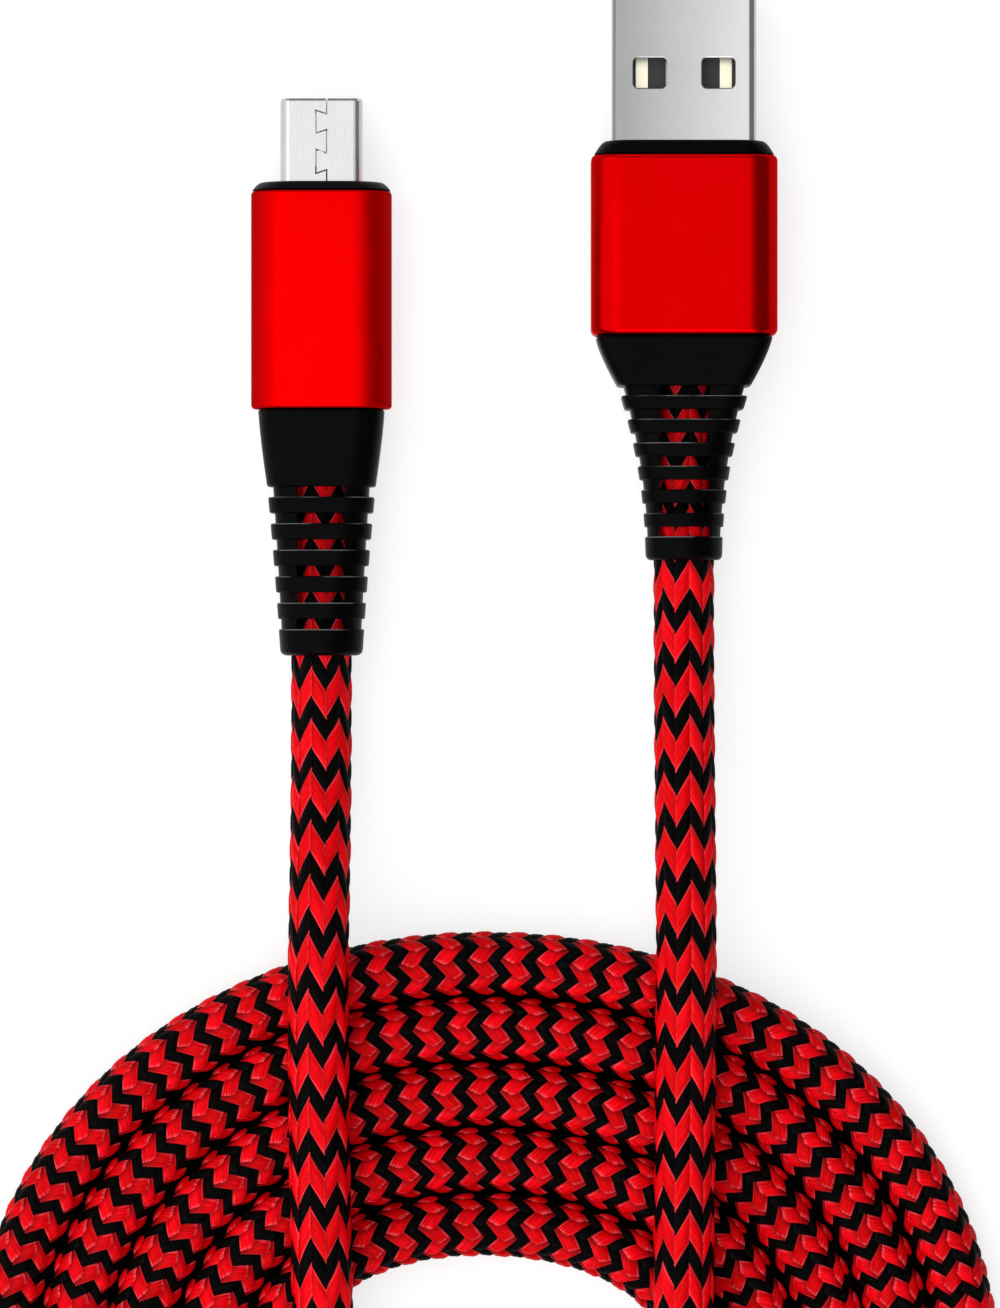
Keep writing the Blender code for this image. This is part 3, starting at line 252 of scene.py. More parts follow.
def tail_start(plug):
    """Where the braid starts inside a boot, and where the boot ends, along the plug's axis."""
    low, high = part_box(plug + "_cable_tail")
    boot_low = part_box(plug + "_boot")[0]
    middle = (low + high) / 2 / MM
    return Vector((middle.x, high.y / MM, middle.z)), Vector((middle.x, boot_low.y / MM, middle.z))


def cable_route():
    """The whole centreline, from inside the Micro-B boot to inside the USB-A boot, every 1 mm."""
    middle = Vector((*COIL_MIDDLE, 0))
    micro_start, micro_mouth = tail_start("micro")
    usb_a_start, usb_a_mouth = tail_start("usb_a")
    gap = Vector((0, FACE_GAP, 0))
    points = [micro_start - middle]
    points += micro_lead_points(micro_mouth - gap - middle)
    points += coil_route()
    points += usb_a_lead_points(usb_a_mouth - gap - middle)
    points += [usb_a_start - middle]
    held = round((micro_start - micro_mouth).length / EASING_STEP)
    return [middle + point for point in smooth_line(points, held)]


def lengths_along(line):
    return list(accumulate(((b - a).length for a, b in zip(line, line[1:])), initial=0.0))


def at_length(line, lengths, wanted, seat):
    """The point that far along the line, and the seat to look on from."""
    while seat < len(line) - 2 and lengths[seat + 1] < wanted:
        seat += 1
    share = (wanted - lengths[seat]) / (lengths[seat + 1] - lengths[seat])
    return line[seat].lerp(line[seat + 1], share), seat


def eased(share):
    share = min(max(share, 0), 1)
    return share * share * (3 - 2 * share)


def stations_on(line, coil_first, coil_last):
    """Points of the route a quarter of a band apart, with their braid's rise, twist, share of the coil's, radius."""
    lengths = lengths_along(line)
    stations = []
    s, seat = 0.0, 0
    while s < lengths[-1]:
        point, seat = at_length(line, lengths, s, seat)
        on_coil = eased((s - coil_first) / BAND_CHANGE) * eased((coil_last - s) / BAND_CHANGE)
        lead_twist = TWIST_MICRO if s < lengths[-1] / 2 else TWIST_USB_A
        band, rise, twist, radius = (lead + (coil - lead) * on_coil for lead, coil in (
            (LEAD_BAND, COIL_BAND), (LEAD_RISE, COIL_RISE), (lead_twist, TWIST_COIL), (LEAD_RADIUS, COIL_RADIUS)))
        stations.append((point, rise, math.radians(twist), on_coil, radius))
        s += band / STATIONS
    past = stations[-1][0] * 2 - stations[-2][0]
    stations.append((past, *stations[-1][1:]))
    return stations


def axes_at(line, index):
    """The axis to the route's side at one of its points, and the one up from it."""
    way = (line[min(index + 1, len(line) - 1)] - line[max(index - 1, 0)]).normalized()
    side = way.cross(Vector((0, 0, 1))).normalized()
    return side, side.cross(way)


def station_axes(stations):
    """Each station's two axes, turned by the braid's twist."""
    line = [station[0] for station in stations]
    axes = []
    for index, (_, _, twist, *_) in enumerate(stations):
        side, up = axes_at(line, index)
        axes.append((side * math.cos(twist) - up * math.sin(twist), up * math.cos(twist) + side * math.sin(twist)))
    return axes


# ---- node trees ----

def operator(operation, turned=False):
    """A method for one of Python's operators, which adds a Math node."""
    return lambda self, other: work_out(self.tree, operation, *((other, self) if turned else (self, other)))


class Output:
    """What a node gives. Python's operators on it add Math nodes to its tree."""

    def __init__(self, socket):
        self.socket = socket
        self.tree = socket.id_data
        self.is_vector = socket.type in ("VECTOR", "RGBA")

    __add__, __sub__, __truediv__, __pow__ = map(operator, ("ADD", "SUBTRACT", "DIVIDE", "POWER"))
    __rsub__, __rtruediv__ = operator("SUBTRACT", True), operator("DIVIDE", True)

    def __mul__(self, other):
        return work_out(self.tree, "SCALE" if self.is_vector else "MULTIPLY", self, other)

    def __abs__(self):
        return work_out(self.tree, "ABSOLUTE", self)


def feed(socket, value):
    """Links the output that feeds a socket, or sets its plain value. A colour needs no alpha."""
    if isinstance(value, Output):
        socket.id_data.links.new(value.socket, socket)
    else:
        socket.default_value = (*value, 1)[:4] if socket.type == "RGBA" else value


def add(tree, kind, inputs=None, **settings):
    """A node of that kind, with its inputs fed."""
    node = tree.nodes.new(kind)
    for name, value in settings.items():
        setattr(node, name, value)
    for key, value in (inputs or {}).items():
        feed(node.inputs[key], value)
    return node


def made(tree, kind, inputs=None, output=0, **settings):
    """What a new node gives."""
    return Output(add(tree, kind, inputs, **settings).outputs[output])


def work_out(tree, operation, first, *others):
    """What one Math node gives, or one Vector Math node where the first value is a vector or a colour."""
    if isinstance(first, Output) and first.is_vector:
        keys = (0, 3) if operation == "SCALE" else (0, 1)
        return made(tree, "ShaderNodeVectorMath", dict(zip(keys, (first, *others))), operation=operation)
    return made(tree, "ShaderNodeMath", dict(enumerate((first, *others))), operation=operation)


def parts(tree, vector):
    """The X, Y and Z of a vector."""
    return [Output(socket) for socket in add(tree, "ShaderNodeSeparateXYZ", {0: vector}).outputs]


def mapped(tree, value, low, high, out_low=0.0, out_high=1.0, kind="SMOOTHSTEP"):
    """A value brought from one span to another."""
    return made(tree, "ShaderNodeMapRange", {0: value, 1: low, 2: high, 3: out_low, 4: out_high},
                interpolation_type=kind)


def mixed(tree, share, first, second):
    """A blend of two colours."""
    return made(tree, "ShaderNodeMix", {"Factor": share, 6: first, 7: second}, 2, data_type="RGBA")


def new_group(name, kind, inputs, outputs):
    """A node group, what its inputs give, and its end. Each input has a plain value or a type."""
    tree = bpy.data.node_groups.new(name, kind)
    plain = {float: "Float", int: "Int", tuple: "Vector"}
    for label, value in inputs.items():
        kind = plain.get(type(value))
        socket = tree.interface.new_socket(label, in_out="INPUT", socket_type="NodeSocket" + (kind or value))
        if kind:
            socket.default_value = value
    for label in outputs:
        kind = "Geometry" if tree.type == "GEOMETRY" else "Float"
        tree.interface.new_socket(label, in_out="OUTPUT", socket_type="NodeSocket" + kind)
    start = tree.nodes.new("NodeGroupInput")
    given = {socket.name: Output(socket) for socket in start.outputs if socket.name}
    return tree, given, tree.nodes.new("NodeGroupOutput")


# ---- the yarns of the braid ----

def pattern_mesh(name, across, along, material):
    """A flat grid that becomes one float of yarn: x runs along it, from -0.5 to 0.5, and y across it."""
    vertices = [(i / along - 0.5, j / across - 0.5, 0) for j in range(across + 1) for i in range(along + 1)]
    row = along + 1
    faces = [(j * row + i, j * row + i + 1, (j + 1) * row + i + 1, (j + 1) * row + i)
             for j in range(across) for i in range(along)]
    mesh = bpy.data.meshes.new(name)
    mesh.from_pydata(vertices, [], faces)
    mesh.materials.append(material)
    for polygon in mesh.polygons:
        polygon.use_smooth = True
    return bpy.data.objects.new(name, mesh)


def route_mesh(name, stations):
    """The route as bare points, with each station's axes and rise stored on them."""
    mesh = bpy.data.meshes.new(name)
    mesh.from_pydata([point * MM for point, *_ in stations], [], [])
    axes = station_axes(stations)
    for label, index in (("side", 0), ("up", 1)):
        layer = mesh.attributes.new(label, "FLOAT_VECTOR", "POINT")
        layer.data.foreach_set("vector", [value for pair in axes for value in pair[index]])
    for label, values in (("rise", [station[1] for station in stations]),
                          ("radius", [station[4] * MM for station in stations])):
        layer = mesh.attributes.new(label, "FLOAT", "POINT")
        layer.data.foreach_set("value", values)
    return bpy.data.objects.new(name, mesh)


def store(tree, geometry, name, value, domain="POINT", kind="FLOAT"):
    """Geometry with a value stored on it by name."""
    return made(tree, "GeometryNodeStoreNamedAttribute", {"Geometry": geometry, "Name": name, "Value": value},
                data_type=kind, domain=domain)


def read(tree, name, kind="FLOAT"):
    """What the geometry stores by that name."""
    return made(tree, "GeometryNodeInputNamedAttribute", {"Name": name}, data_type=kind)


def end_in(tree, geometry, material, end):
    """Ends a tree of Geometry Nodes in plain geometry of one material."""
    geometry = made(tree, "GeometryNodeRealizeInstances", {"Geometry": geometry})
    geometry = made(tree, "GeometryNodeSetMaterial", {"Geometry": geometry, "Material": material})
    feed(end.inputs[0], geometry)


def braid_tree():
    """Lays a float of yarn round a route for each limb of each band, leaning one way and the other by turns."""
    tree, given, end = new_group("lay_the_floats", "GeometryNodeTree", {
        "Route": "Geometry", "Float": "Object", "First band": 0, "Bands": 10, "Limbs": LIMBS, "Stations": STATIONS,
        "Colour shift": 0.0, "Yarn width": 0.5, "Tuck": 0.1, "Crown": 0.0003, "Sunk": 0.0, "Unevenness": 0.03,
        "Lean tone": 0.0, "Square end": 0.0, "Seed": 1, "Yarn": "Material",
    }, ["Floats"])
    limbs, stations, crown = given["Limbs"], given["Stations"], given["Crown"]
    spots = made(tree, "GeometryNodePoints", {"Count": given["Bands"] * limbs})
    index = made(tree, "GeometryNodeInputIndex")
    limb = work_out(tree, "MODULO", index, limbs)
    band = work_out(tree, "FLOOR", index / limbs)
    lean = work_out(tree, "MODULO", limb, 2.0) * 2.0 - 1.0
    chance = made(tree, "FunctionNodeRandomValue", {2: -1.0, 3: 1.0, "ID": index, "Seed": given["Seed"]}, 1)
    place = band + given["First band"] + given["Colour shift"] + chance * given["Unevenness"]
    # Each float's tone: painted shade by the way it leans, and a random spread.
    tone = lean * given["Lean tone"] + chance * TONE_SPREAD
    for name, value in {"place": place, "limb": limb, "lean": lean, "tone": tone}.items():
        spots = store(tree, spots, name, value)
    shape = made(tree, "GeometryNodeObjectInfo", {"Object": given["Float"]}, "Geometry")
    flat = parts(tree, made(tree, "GeometryNodeInputPosition"))
    for name, value in zip(("along", "across"), flat):
        shape = store(tree, shape, name, value)
    laid = made(tree, "GeometryNodeInstanceOnPoints", {"Points": spots, "Instance": shape})
    laid = made(tree, "GeometryNodeRealizeInstances", {"Geometry": laid})

    along, across, lean, place = (read(tree, name) for name in ("along", "across", "lean", "place"))
    reach = along * (given["Tuck"] * 2.0 + 1.0)
    reach = reach - across * lean * given["Square end"] * (0.5 - along)
    angle = (read(tree, "limb") + reach) * (2 * math.pi / limbs)

    def on_route(name, at, kind="FLOAT"):
        """What the route stores at a place between two of its points."""
        value = read(tree, name, kind)
        low = work_out(tree, "FLOOR", at)
        first, second = [
            made(tree, "GeometryNodeSampleIndex", {"Geometry": given["Route"], "Value": value, "Index": seat},
                 data_type=kind, domain="POINT", clamp=True) for seat in (low, low + 1.0)]
        return (second - first) * (at - low) + first

    rise = on_route("rise", place * stations)
    at = (place + reach * lean * rise + across * given["Yarn width"]) * stations
    centre, side, up = (on_route(name, at, "FLOAT_VECTOR") for name in ("position", "side", "up"))
    tucked = mapped(tree, along, 0.0, 0.5, 1.0, 0.0)
    risen = mapped(tree, along, -0.5, RISEN_AT, START_HEIGHT, 1.0)
    crowned = 1.0 - (abs(across) * 2.0) ** CROWN_POWER
    radius = on_route("radius", at) - crown - given["Sunk"] + tucked * risen * crowned * crown
    outward = up * work_out(tree, "COSINE", angle) + side * work_out(tree, "SINE", angle)
    laid = made(tree, "GeometryNodeSetPosition", {"Geometry": laid, "Position": centre + outward * radius})
    chart = made(tree, "ShaderNodeCombineXYZ", {0: along + 0.5, 1: 0.5 - across * lean})
    end_in(tree, store(tree, laid, "UVMap", chart, "CORNER", "FLOAT2"), given["Yarn"], end)
    return tree


def rib_tree():
    """Sinks grooves into a smooth strain relief, which leaves ribs, and marks their front edges for a painted glint
    that looks scuffed grey.
    """
    tree, given, end = new_group("sink_the_grooves", "GeometryNodeTree", {
        "Relief": "Geometry", "Front": 0.0, "Taper": 0.007, "Length": 0.02, "Ribs": 5, "Pitch": 0.002,
        "Groove": 0.0008, "Front depth": 0.0005, "End depth": 0.0002, "Curve": 1.2, "Round": 0.00013,
        "Round share": ROUND_SHARE, "Wall": 0.00002, "Rubber": "Material",
    }, ["Ribbed relief"])

    def ramp(value, low, high, first, last):
        return mapped(tree, value, low, high, first, last, "LINEAR")

    pitch, rounding = given["Pitch"], given["Round"]
    along = given["Front"] - parts(tree, made(tree, "GeometryNodeInputPosition"))[1] - given["Taper"]
    half = given["Groove"] * 0.5
    nearest = work_out(tree, "MAXIMUM", work_out(tree, "ROUND", (along - half) / pitch), 0.0)
    off = along - (work_out(tree, "MINIMUM", nearest, given["Ribs"]) * pitch + half)
    beyond = abs(off) - half
    wall = ramp(beyond, given["Wall"] * -1.0, 0.0, 1.0, 0.0)
    bow = ramp(beyond, 0.0, rounding, 1.0, 0.0)
    crest = (1.0 - work_out(tree, "SQRT", 1.0 - bow * bow)) * given["Round share"]
    left = 1.0 - along / (given["Length"] - given["Taper"])
    left = work_out(tree, "MAXIMUM", left, 0.0) ** given["Curve"]
    outer = read(tree, "outer")
    depth = ((given["Front depth"] - given["End depth"]) * left + given["End depth"]) * outer
    depth = depth * work_out(tree, "MAXIMUM", wall, crest)
    start, stop = (rounding * share for share in GLINT_AND_WEAR_SPAN)
    # Painted glint, laid out like scuffing: a mark on the front rounding of each rib.
    glint_and_wear_mask = ramp(beyond, 0.0, start, 0.0, 1.0) * ramp(beyond, stop, rounding, 1.0, 0.0)
    glint_and_wear_mask = glint_and_wear_mask * work_out(tree, "GREATER_THAN", off, 0.0) * outer
    marked = store(tree, given["Relief"], "wear", glint_and_wear_mask)
    x, _, z = parts(tree, made(tree, "GeometryNodeInputNormal"))
    outward = work_out(tree, "NORMALIZE", made(tree, "ShaderNodeCombineXYZ", {0: x, 2: z}))
    sunk = made(tree, "GeometryNodeSetPosition", {"Geometry": marked, "Offset": outward * (depth * -1.0)})
    sunk = made(tree, "GeometryNodeRemoveAttribute", {"Geometry": sunk, "Name": "outer"})
    end_in(tree, sunk, given["Rubber"], end)
    return tree


def modified(base, label, tree, values):
    """Gives an object a modifier of Geometry Nodes, with each input set by its socket's identifier."""
    modifier = base.modifiers.new(label, "NODES")
    modifier.node_group = tree
    for item in tree.interface.items_tree:
        if item.name in values and item.in_out == "INPUT":
            modifier[item.identifier] = values[item.name]


def plain_mesh(thing):
    """What an object's modifiers make of it, as a plain mesh."""
    bpy.context.view_layer.update()
    return bpy.data.meshes.new_from_object(thing.evaluated_get(bpy.context.evaluated_depsgraph_get()))


def linked(name, data):
    """A new object in the scene."""
    piece = bpy.data.objects.new(name, data)
    bpy.context.scene.collection.objects.link(piece)
    return piece


def grown(name, base, tree, values):
    """A plain mesh of what the tree makes on the base object."""
    modified(base, "grow", tree, values)
    bpy.context.scene.collection.objects.link(base)
    mesh = plain_mesh(base)
    base.modifiers.clear()
    bpy.context.scene.collection.objects.unlink(base)
    mesh.name = name
    return linked(name, mesh)


# ---- effects that several finishes share ----

def in_millimetres(tree):
    """Object coordinates, in mm."""
    place = made(tree, "ShaderNodeTexCoord", None, "Object")
    return made(tree, "ShaderNodeMapping", {0: place, "Scale": (1 / MM, 1 / MM, 1 / MM)}, vector_type="POINT")


def noise(tree, vector, scale, detail, roughness=0.5):
    return made(tree, "ShaderNodeTexNoise",
                {"Vector": vector, "Scale": scale, "Detail": detail, "Roughness": roughness})


def grain_group():
    """The fine texture of a moulded, blasted or rolled surface, with broad patches where hands have rubbed it."""
    tree, given, end = new_group("surface_grain", "ShaderNodeTree", {
        "Grain size": 0.1, "Stretch": (1, 1, 1), "Patch size": 4.0}, ["Grain", "Patches", "Height"])
    place = in_millimetres(tree)
    stretched = work_out(tree, "MULTIPLY", place, given["Stretch"])
    grain = noise(tree, stretched, 1.0 / given["Grain size"], 3.0, 0.6)
    patches = noise(tree, place, 1.0 / given["Patch size"], 2.0)
    feed(end.inputs["Grain"], mapped(tree, grain, 0.3, 0.7))
    feed(end.inputs["Patches"], mapped(tree, patches, 0.35, 0.65))
    feed(end.inputs["Height"], grain)
    return tree


def filament_group():
    """The filaments that lie side by side in a float of yarn, read from the float's own chart, with masks for painted
    shade towards the float's tucked end and for painted highlights at its bends and edges.
    """
    tree, given, end = new_group("yarn_filaments", "ShaderNodeTree", {"Filaments": 9.0},
                                 ["Tone", "Under", "Bend", "Edges", "Height"])
    along, across, _ = parts(tree, made(tree, "ShaderNodeUVMap", uv_map="UVMap"))
    tone = made(tree, "ShaderNodeAttribute", None, "Fac", attribute_name="tone")
    count = given["Filaments"]
    wander = made(tree, "ShaderNodeCombineXYZ", {0: along * 1.3, 1: across * count, 2: tone * 40.0})
    strands = noise(tree, wander, 1.0, 2.0, 0.55)
    rounds = abs(work_out(tree, "SINE", (across + strands * 0.05) * (count * math.pi)))
    # Painted highlight at the float's on-top end and along one edge near it, and along both its edges.
    rim = mapped(tree, across, 0.82, 0.98) * mapped(tree, along, 0.3, 0.7, 1.0, 0.0)
    bend_highlight = work_out(tree, "MAXIMUM", mapped(tree, along, 0.02, 0.16, 1.0, 0.0), rim)
    edges = mapped(tree, abs(across - 0.5), 0.36, 0.47)
    # Under shade is painted shade towards the tucked end; the bend and edge highlights are painted highlights.
    for name, value in {
        "Tone": mapped(tree, strands * 0.8 + tone * 0.3, 0.2, 0.65),
        "Under": mapped(tree, along, 0.42, 1.0),
        "Bend": bend_highlight * mapped(tree, strands, 0.35, 0.6),
        "Edges": edges * mapped(tree, strands, 0.3, 0.6),
        "Height": rounds * 0.6 + strands,
    }.items():
        feed(end.inputs[name], value)
    return tree


def new_material(name, **constants):
    """A material with one Principled shader, whose plain values are set on its own sockets."""
    material = bpy.data.materials.new(name)
    material.use_nodes = True
    tree = material.node_tree
    tree.nodes.clear()
    shader = add(tree, "ShaderNodeBsdfPrincipled")
    for label, value in constants.items():
        feed(shader.inputs[label.replace("_", " ").title().replace("Ior", "IOR")], value)
    add(tree, "ShaderNodeOutputMaterial", {0: Output(shader.outputs[0])})
    return material, tree, shader


def bumped(tree, shader, height, depth):
    """Raises the surface by a height, given in shares of the depth in metres."""
    bump = made(tree, "ShaderNodeBump", {"Height": height, "Distance": depth, "Strength": 1.0})
    feed(shader.inputs["Normal"], bump)


def effect(tree, group, **values):
    """What a shared effect gives, by name."""
    node = add(tree, "ShaderNodeGroup", node_tree=group)
    for label, value in values.items():
        feed(node.inputs[label.replace("_", " ").capitalize()], value)
    return {socket.name: Output(socket) for socket in node.outputs}


GRAIN_SHARE = 0.6  # of the grain in a finish's variation; the rest is the patches'
FILAMENT_DEPTH = 0.00004  # m
# Grey of the painted glint on the ribs' front edges, which also looks like scuffing.
GLINT_AND_SCUFF_GREY = (0.16, 0.16, 0.16)
WIRE_SHADE = 0.85
WIRES = {"power": (0.55, 0.01, 0.01), "ground": (0.01, 0.01, 0.01), "data_plus": (0.01, 0.25, 0.05),
         "data_minus": (0.75, 0.75, 0.72)}
BLACK = ((0.0008, 0.0008, 0.0008), (0.0018, 0.0017, 0.0017)), (0.3, 0.42), 0.12
RED_TINT = (1, 0.05, 0.05)
# For each finish its name, then its two colours, two roughnesses and grain size in mm, then the rest.
FINISHES = {
    "anodised": ("anodised_red", (((0.47, 0.0, 0.0002), (0.545, 0.0, 0.001)), (0.26, 0.34), 0.09),
                 dict(depth=0.000003, metallic=0.97, specular_tint=RED_TINT)),
    "satin": ("anodised_red_satin", (((0.78, 0.0, 0.0002), (0.86, 0.0, 0.001)), (0.5, 0.58), 0.09),
              dict(depth=0.000004, metallic=0.9, specular_tint=RED_TINT, specular_ior_level=0.2)),
    "black": ("moulded_black", BLACK, dict(depth=0.000006, specular_ior_level=0.03)),
    "steel": ("rolled_steel", (((0.50, 0.502, 0.508), (0.56, 0.562, 0.568)), (0.16, 0.26), 0.08),
              dict(stretch=(1, 0.08, 1), depth=0.000001, metallic=1.0)),
    "painted_shade_steel": ("polished_steel", (((0.50, 0.502, 0.508), (0.55, 0.552, 0.558)), (0.16, 0.24), 0.08),
                     dict(stretch=(1, 0.08, 1), depth=0.000001, metallic=1.0)),
    "gold": ("pale_gold_plating", (((0.86, 0.82, 0.62), (0.93, 0.90, 0.74)), (0.25, 0.36), 0.05),
             dict(stretch=(1, 0.1, 1), depth=0.000002, metallic=0.8)),
    "tongue": ("tongue_nylon", (((0.035, 0.035, 0.036), (0.07, 0.07, 0.072)), (0.45, 0.6), 0.1),
               dict(depth=0.000006)),
    "mould": ("inner_polythene", (((0.62, 0.62, 0.58), (0.75, 0.75, 0.71)), (0.5, 0.65), 0.4), dict(depth=0.00002)),
    # The core's near-black: partly the inner jacket's own colour, partly painted shade between the yarns.
    "core": ("braid_ground", (((0.0005, 0.0004, 0.0004), (0.004, 0.0006, 0.0008)), (0.8, 0.9), 0.25),
             dict(patch_size=1.0, depth=0.00005, specular_ior_level=0.03)),
}
# Painted shade on the red sleeves where they turn away from the view: for each finish, stops of how far it turns and
# the share of colour left.
GRAZING_SHADE_STOPS = {"anodised": ((0.1, 1.0), (0.8, 0.65)), "satin": ((0.02, 1.0), (0.12, 0.78), (0.75, 0.45))}
# Painted shade across the USB-A shell: where it runs along X in mm, and the share of colour it takes off at its
# darker end.
PAINTED_SHADE_SPAN = (8.8, 20.0, 0.5)
# For each yarn its name, then two colours, the painted shade of its sunk end and the painted highlight of its bends
# and edges, shares of that painted shade and of the bend and edge highlights, the rest.
YARNS = {
    "coil_red_yarn": ("red_nylon_yarn", (((0.55, 0.0, 0.001), (1.0, 0.001, 0.008)), (0.13, 0.0, 0.001),
                      (1.0, 0.13, 0.17), 0.8, 0.55, 0.1), dict(roughness=0.4, specular_ior_level=0.05)),
    "red_yarn": ("red_nylon_yarn_drawn_out", (((0.7, 0.0, 0.001), (1.0, 0.001, 0.008)), (0.2, 0.0, 0.001),
                 (1.0, 0.12, 0.16), 0.35, 0.2, 0.4), dict(roughness=0.4, specular_ior_level=0.05)),
    "black_yarn": ("black_nylon_yarn", (((0.0005, 0.0005, 0.0005), (0.002, 0.0015, 0.0015)), (0.0005, 0.0003, 0.0003),
                   (0.006, 0.005, 0.005), 0.7, 0.8, 0.0), dict(roughness=0.45, specular_ior_level=0.03)),
}


def grained(name, grain, colours, roughness, grain_size, patch_size=4.0, stretch=(1, 1, 1), depth=0.00001,
            **constants):
    """A finish whose colour and roughness vary a little with its grain and where it has been handled."""
    material, tree, shader = new_material(name, **constants)
    surface = effect(tree, grain, grain_size=grain_size, stretch=stretch, patch_size=patch_size)
    blend = surface["Grain"] * GRAIN_SHARE + surface["Patches"] * (1 - GRAIN_SHARE)
    feed(shader.inputs["Base Color"], mixed(tree, blend, *colours))
    feed(shader.inputs["Roughness"], mapped(tree, blend, 0.0, 1.0, *roughness, "LINEAR"))
    bumped(tree, shader, surface["Height"], depth)
    return material


def base_colour(material):
    """Where a finish's colour goes in, and what feeds it."""
    shader = next(node for node in material.node_tree.nodes if node.type == "BSDF_PRINCIPLED")
    socket = shader.inputs["Base Color"]
    return socket, Output(socket.links[0].from_socket)


def dimmed(material, share):
    """Leaves a share of a finish's colour."""
    socket, colour = base_colour(material)
    feed(socket, colour * share)
    return material


def black_with_painted_glint(grain):
    """The moulded black of the strain reliefs, with a painted glint, scuffed grey, along the ribs' front edges."""
    material = grained("moulded_black_scuffed", grain, *BLACK, depth=0.000006, specular_ior_level=0.03)
    tree = material.node_tree
    socket, colour = base_colour(material)
    surface = next(node for node in tree.nodes if node.type == "GROUP")
    wear = made(tree, "ShaderNodeAttribute", None, "Fac", attribute_name="wear")
    glint_and_scuffs = mapped(tree, wear, 0.3, 1.0) * mapped(tree, Output(surface.outputs["Patches"]), 0.1, 0.9)
    feed(socket, mixed(tree, glint_and_scuffs, colour, GLINT_AND_SCUFF_GREY))
    return material


def painted_grazing_shade(material, stops):
    """Paints shade into a metal's colour where it turns away from the view, darkening its flanks. Each stop is how
    far it turns, and the share that is left.
    """
    tree = material.node_tree
    away = made(tree, "ShaderNodeLayerWeight", {"Blend": 0.5}, "Facing")
    steps = [mapped(tree, away, low, high, 1.0, low_share / high_share)
             for (low, high_share), (high, low_share) in zip(stops, stops[1:])]
    return dimmed(material, math.prod(steps[1:], start=steps[0]))


def painted_shade_to_one_side(material, low, high, dim):
    """Paints shade into a metal's colour towards one side, lower X, between two places along X in mm."""
    tree = material.node_tree
    across = parts(tree, in_millimetres(tree))[0]
    return dimmed(material, mapped(tree, across, low, high, 1.0 - dim, 1.0, "LINEAR"))


def yarn(name, filaments, colours, sunk, painted_highlight, under_shade, bend_highlight, edges, **constants):
    """Nylon yarn, with painted shade where it goes under the next limb, and a painted highlight where it bends and at
    its edges.
    """
    material, tree, shader = new_material(name, **constants)
    surface = effect(tree, filaments)
    whole = mixed(tree, surface["Tone"], *colours)
    # The sunk colour is painted shade; the bend and edge colour is a painted highlight.
    for part, share, colour in (("Under", under_shade, sunk), ("Bend", bend_highlight, painted_highlight), ("Edges", edges, painted_highlight)):
        whole = mixed(tree, surface[part] * share, whole, colour)
    feed(shader.inputs["Base Color"], whole)
    bumped(tree, shader, surface["Height"], FILAMENT_DEPTH)
    return material


def make_finishes():
    grain, filaments = grain_group(), filament_group()
    finishes = {key: grained(name, grain, *look, **rest) for key, (name, look, rest) in FINISHES.items()}
    finishes |= {key: yarn(name, filaments, *look, **rest) for key, (name, look, rest) in YARNS.items()}
    finishes["ribbed"] = black_with_painted_glint(grain)
    # The USB-A shell's steel gets painted shade, darker towards lower X.
    painted_shade_to_one_side(finishes["painted_shade_steel"], *PAINTED_SHADE_SPAN)
    for key, stops in GRAZING_SHADE_STOPS.items():
        painted_grazing_shade(finishes[key], stops)
    for name, (r, g, b) in WIRES.items():
        colours = (r * WIRE_SHADE, g * WIRE_SHADE, b * WIRE_SHADE), (r, g, b)
        finishes["wire_" + name] = grained("insulation_" + name, grain, colours, (0.35, 0.5), 0.15)
    return finishes


# ---- the studio ----

def lamp(name, place, aim, size, radiance):
    """A soft square lamp that shows this bright in a mirror."""
    light = bpy.data.lights.new(name, "AREA")
    light.shape = "SQUARE"
    light.size = size
    light.energy = radiance * math.pi * size * size
    lantern = linked(name, light)
    lantern.location = place
    lantern.rotation_mode = "QUATERNION"
    lantern.rotation_quaternion = (aim - Vector(place)).to_track_quat("-Z", "Y")


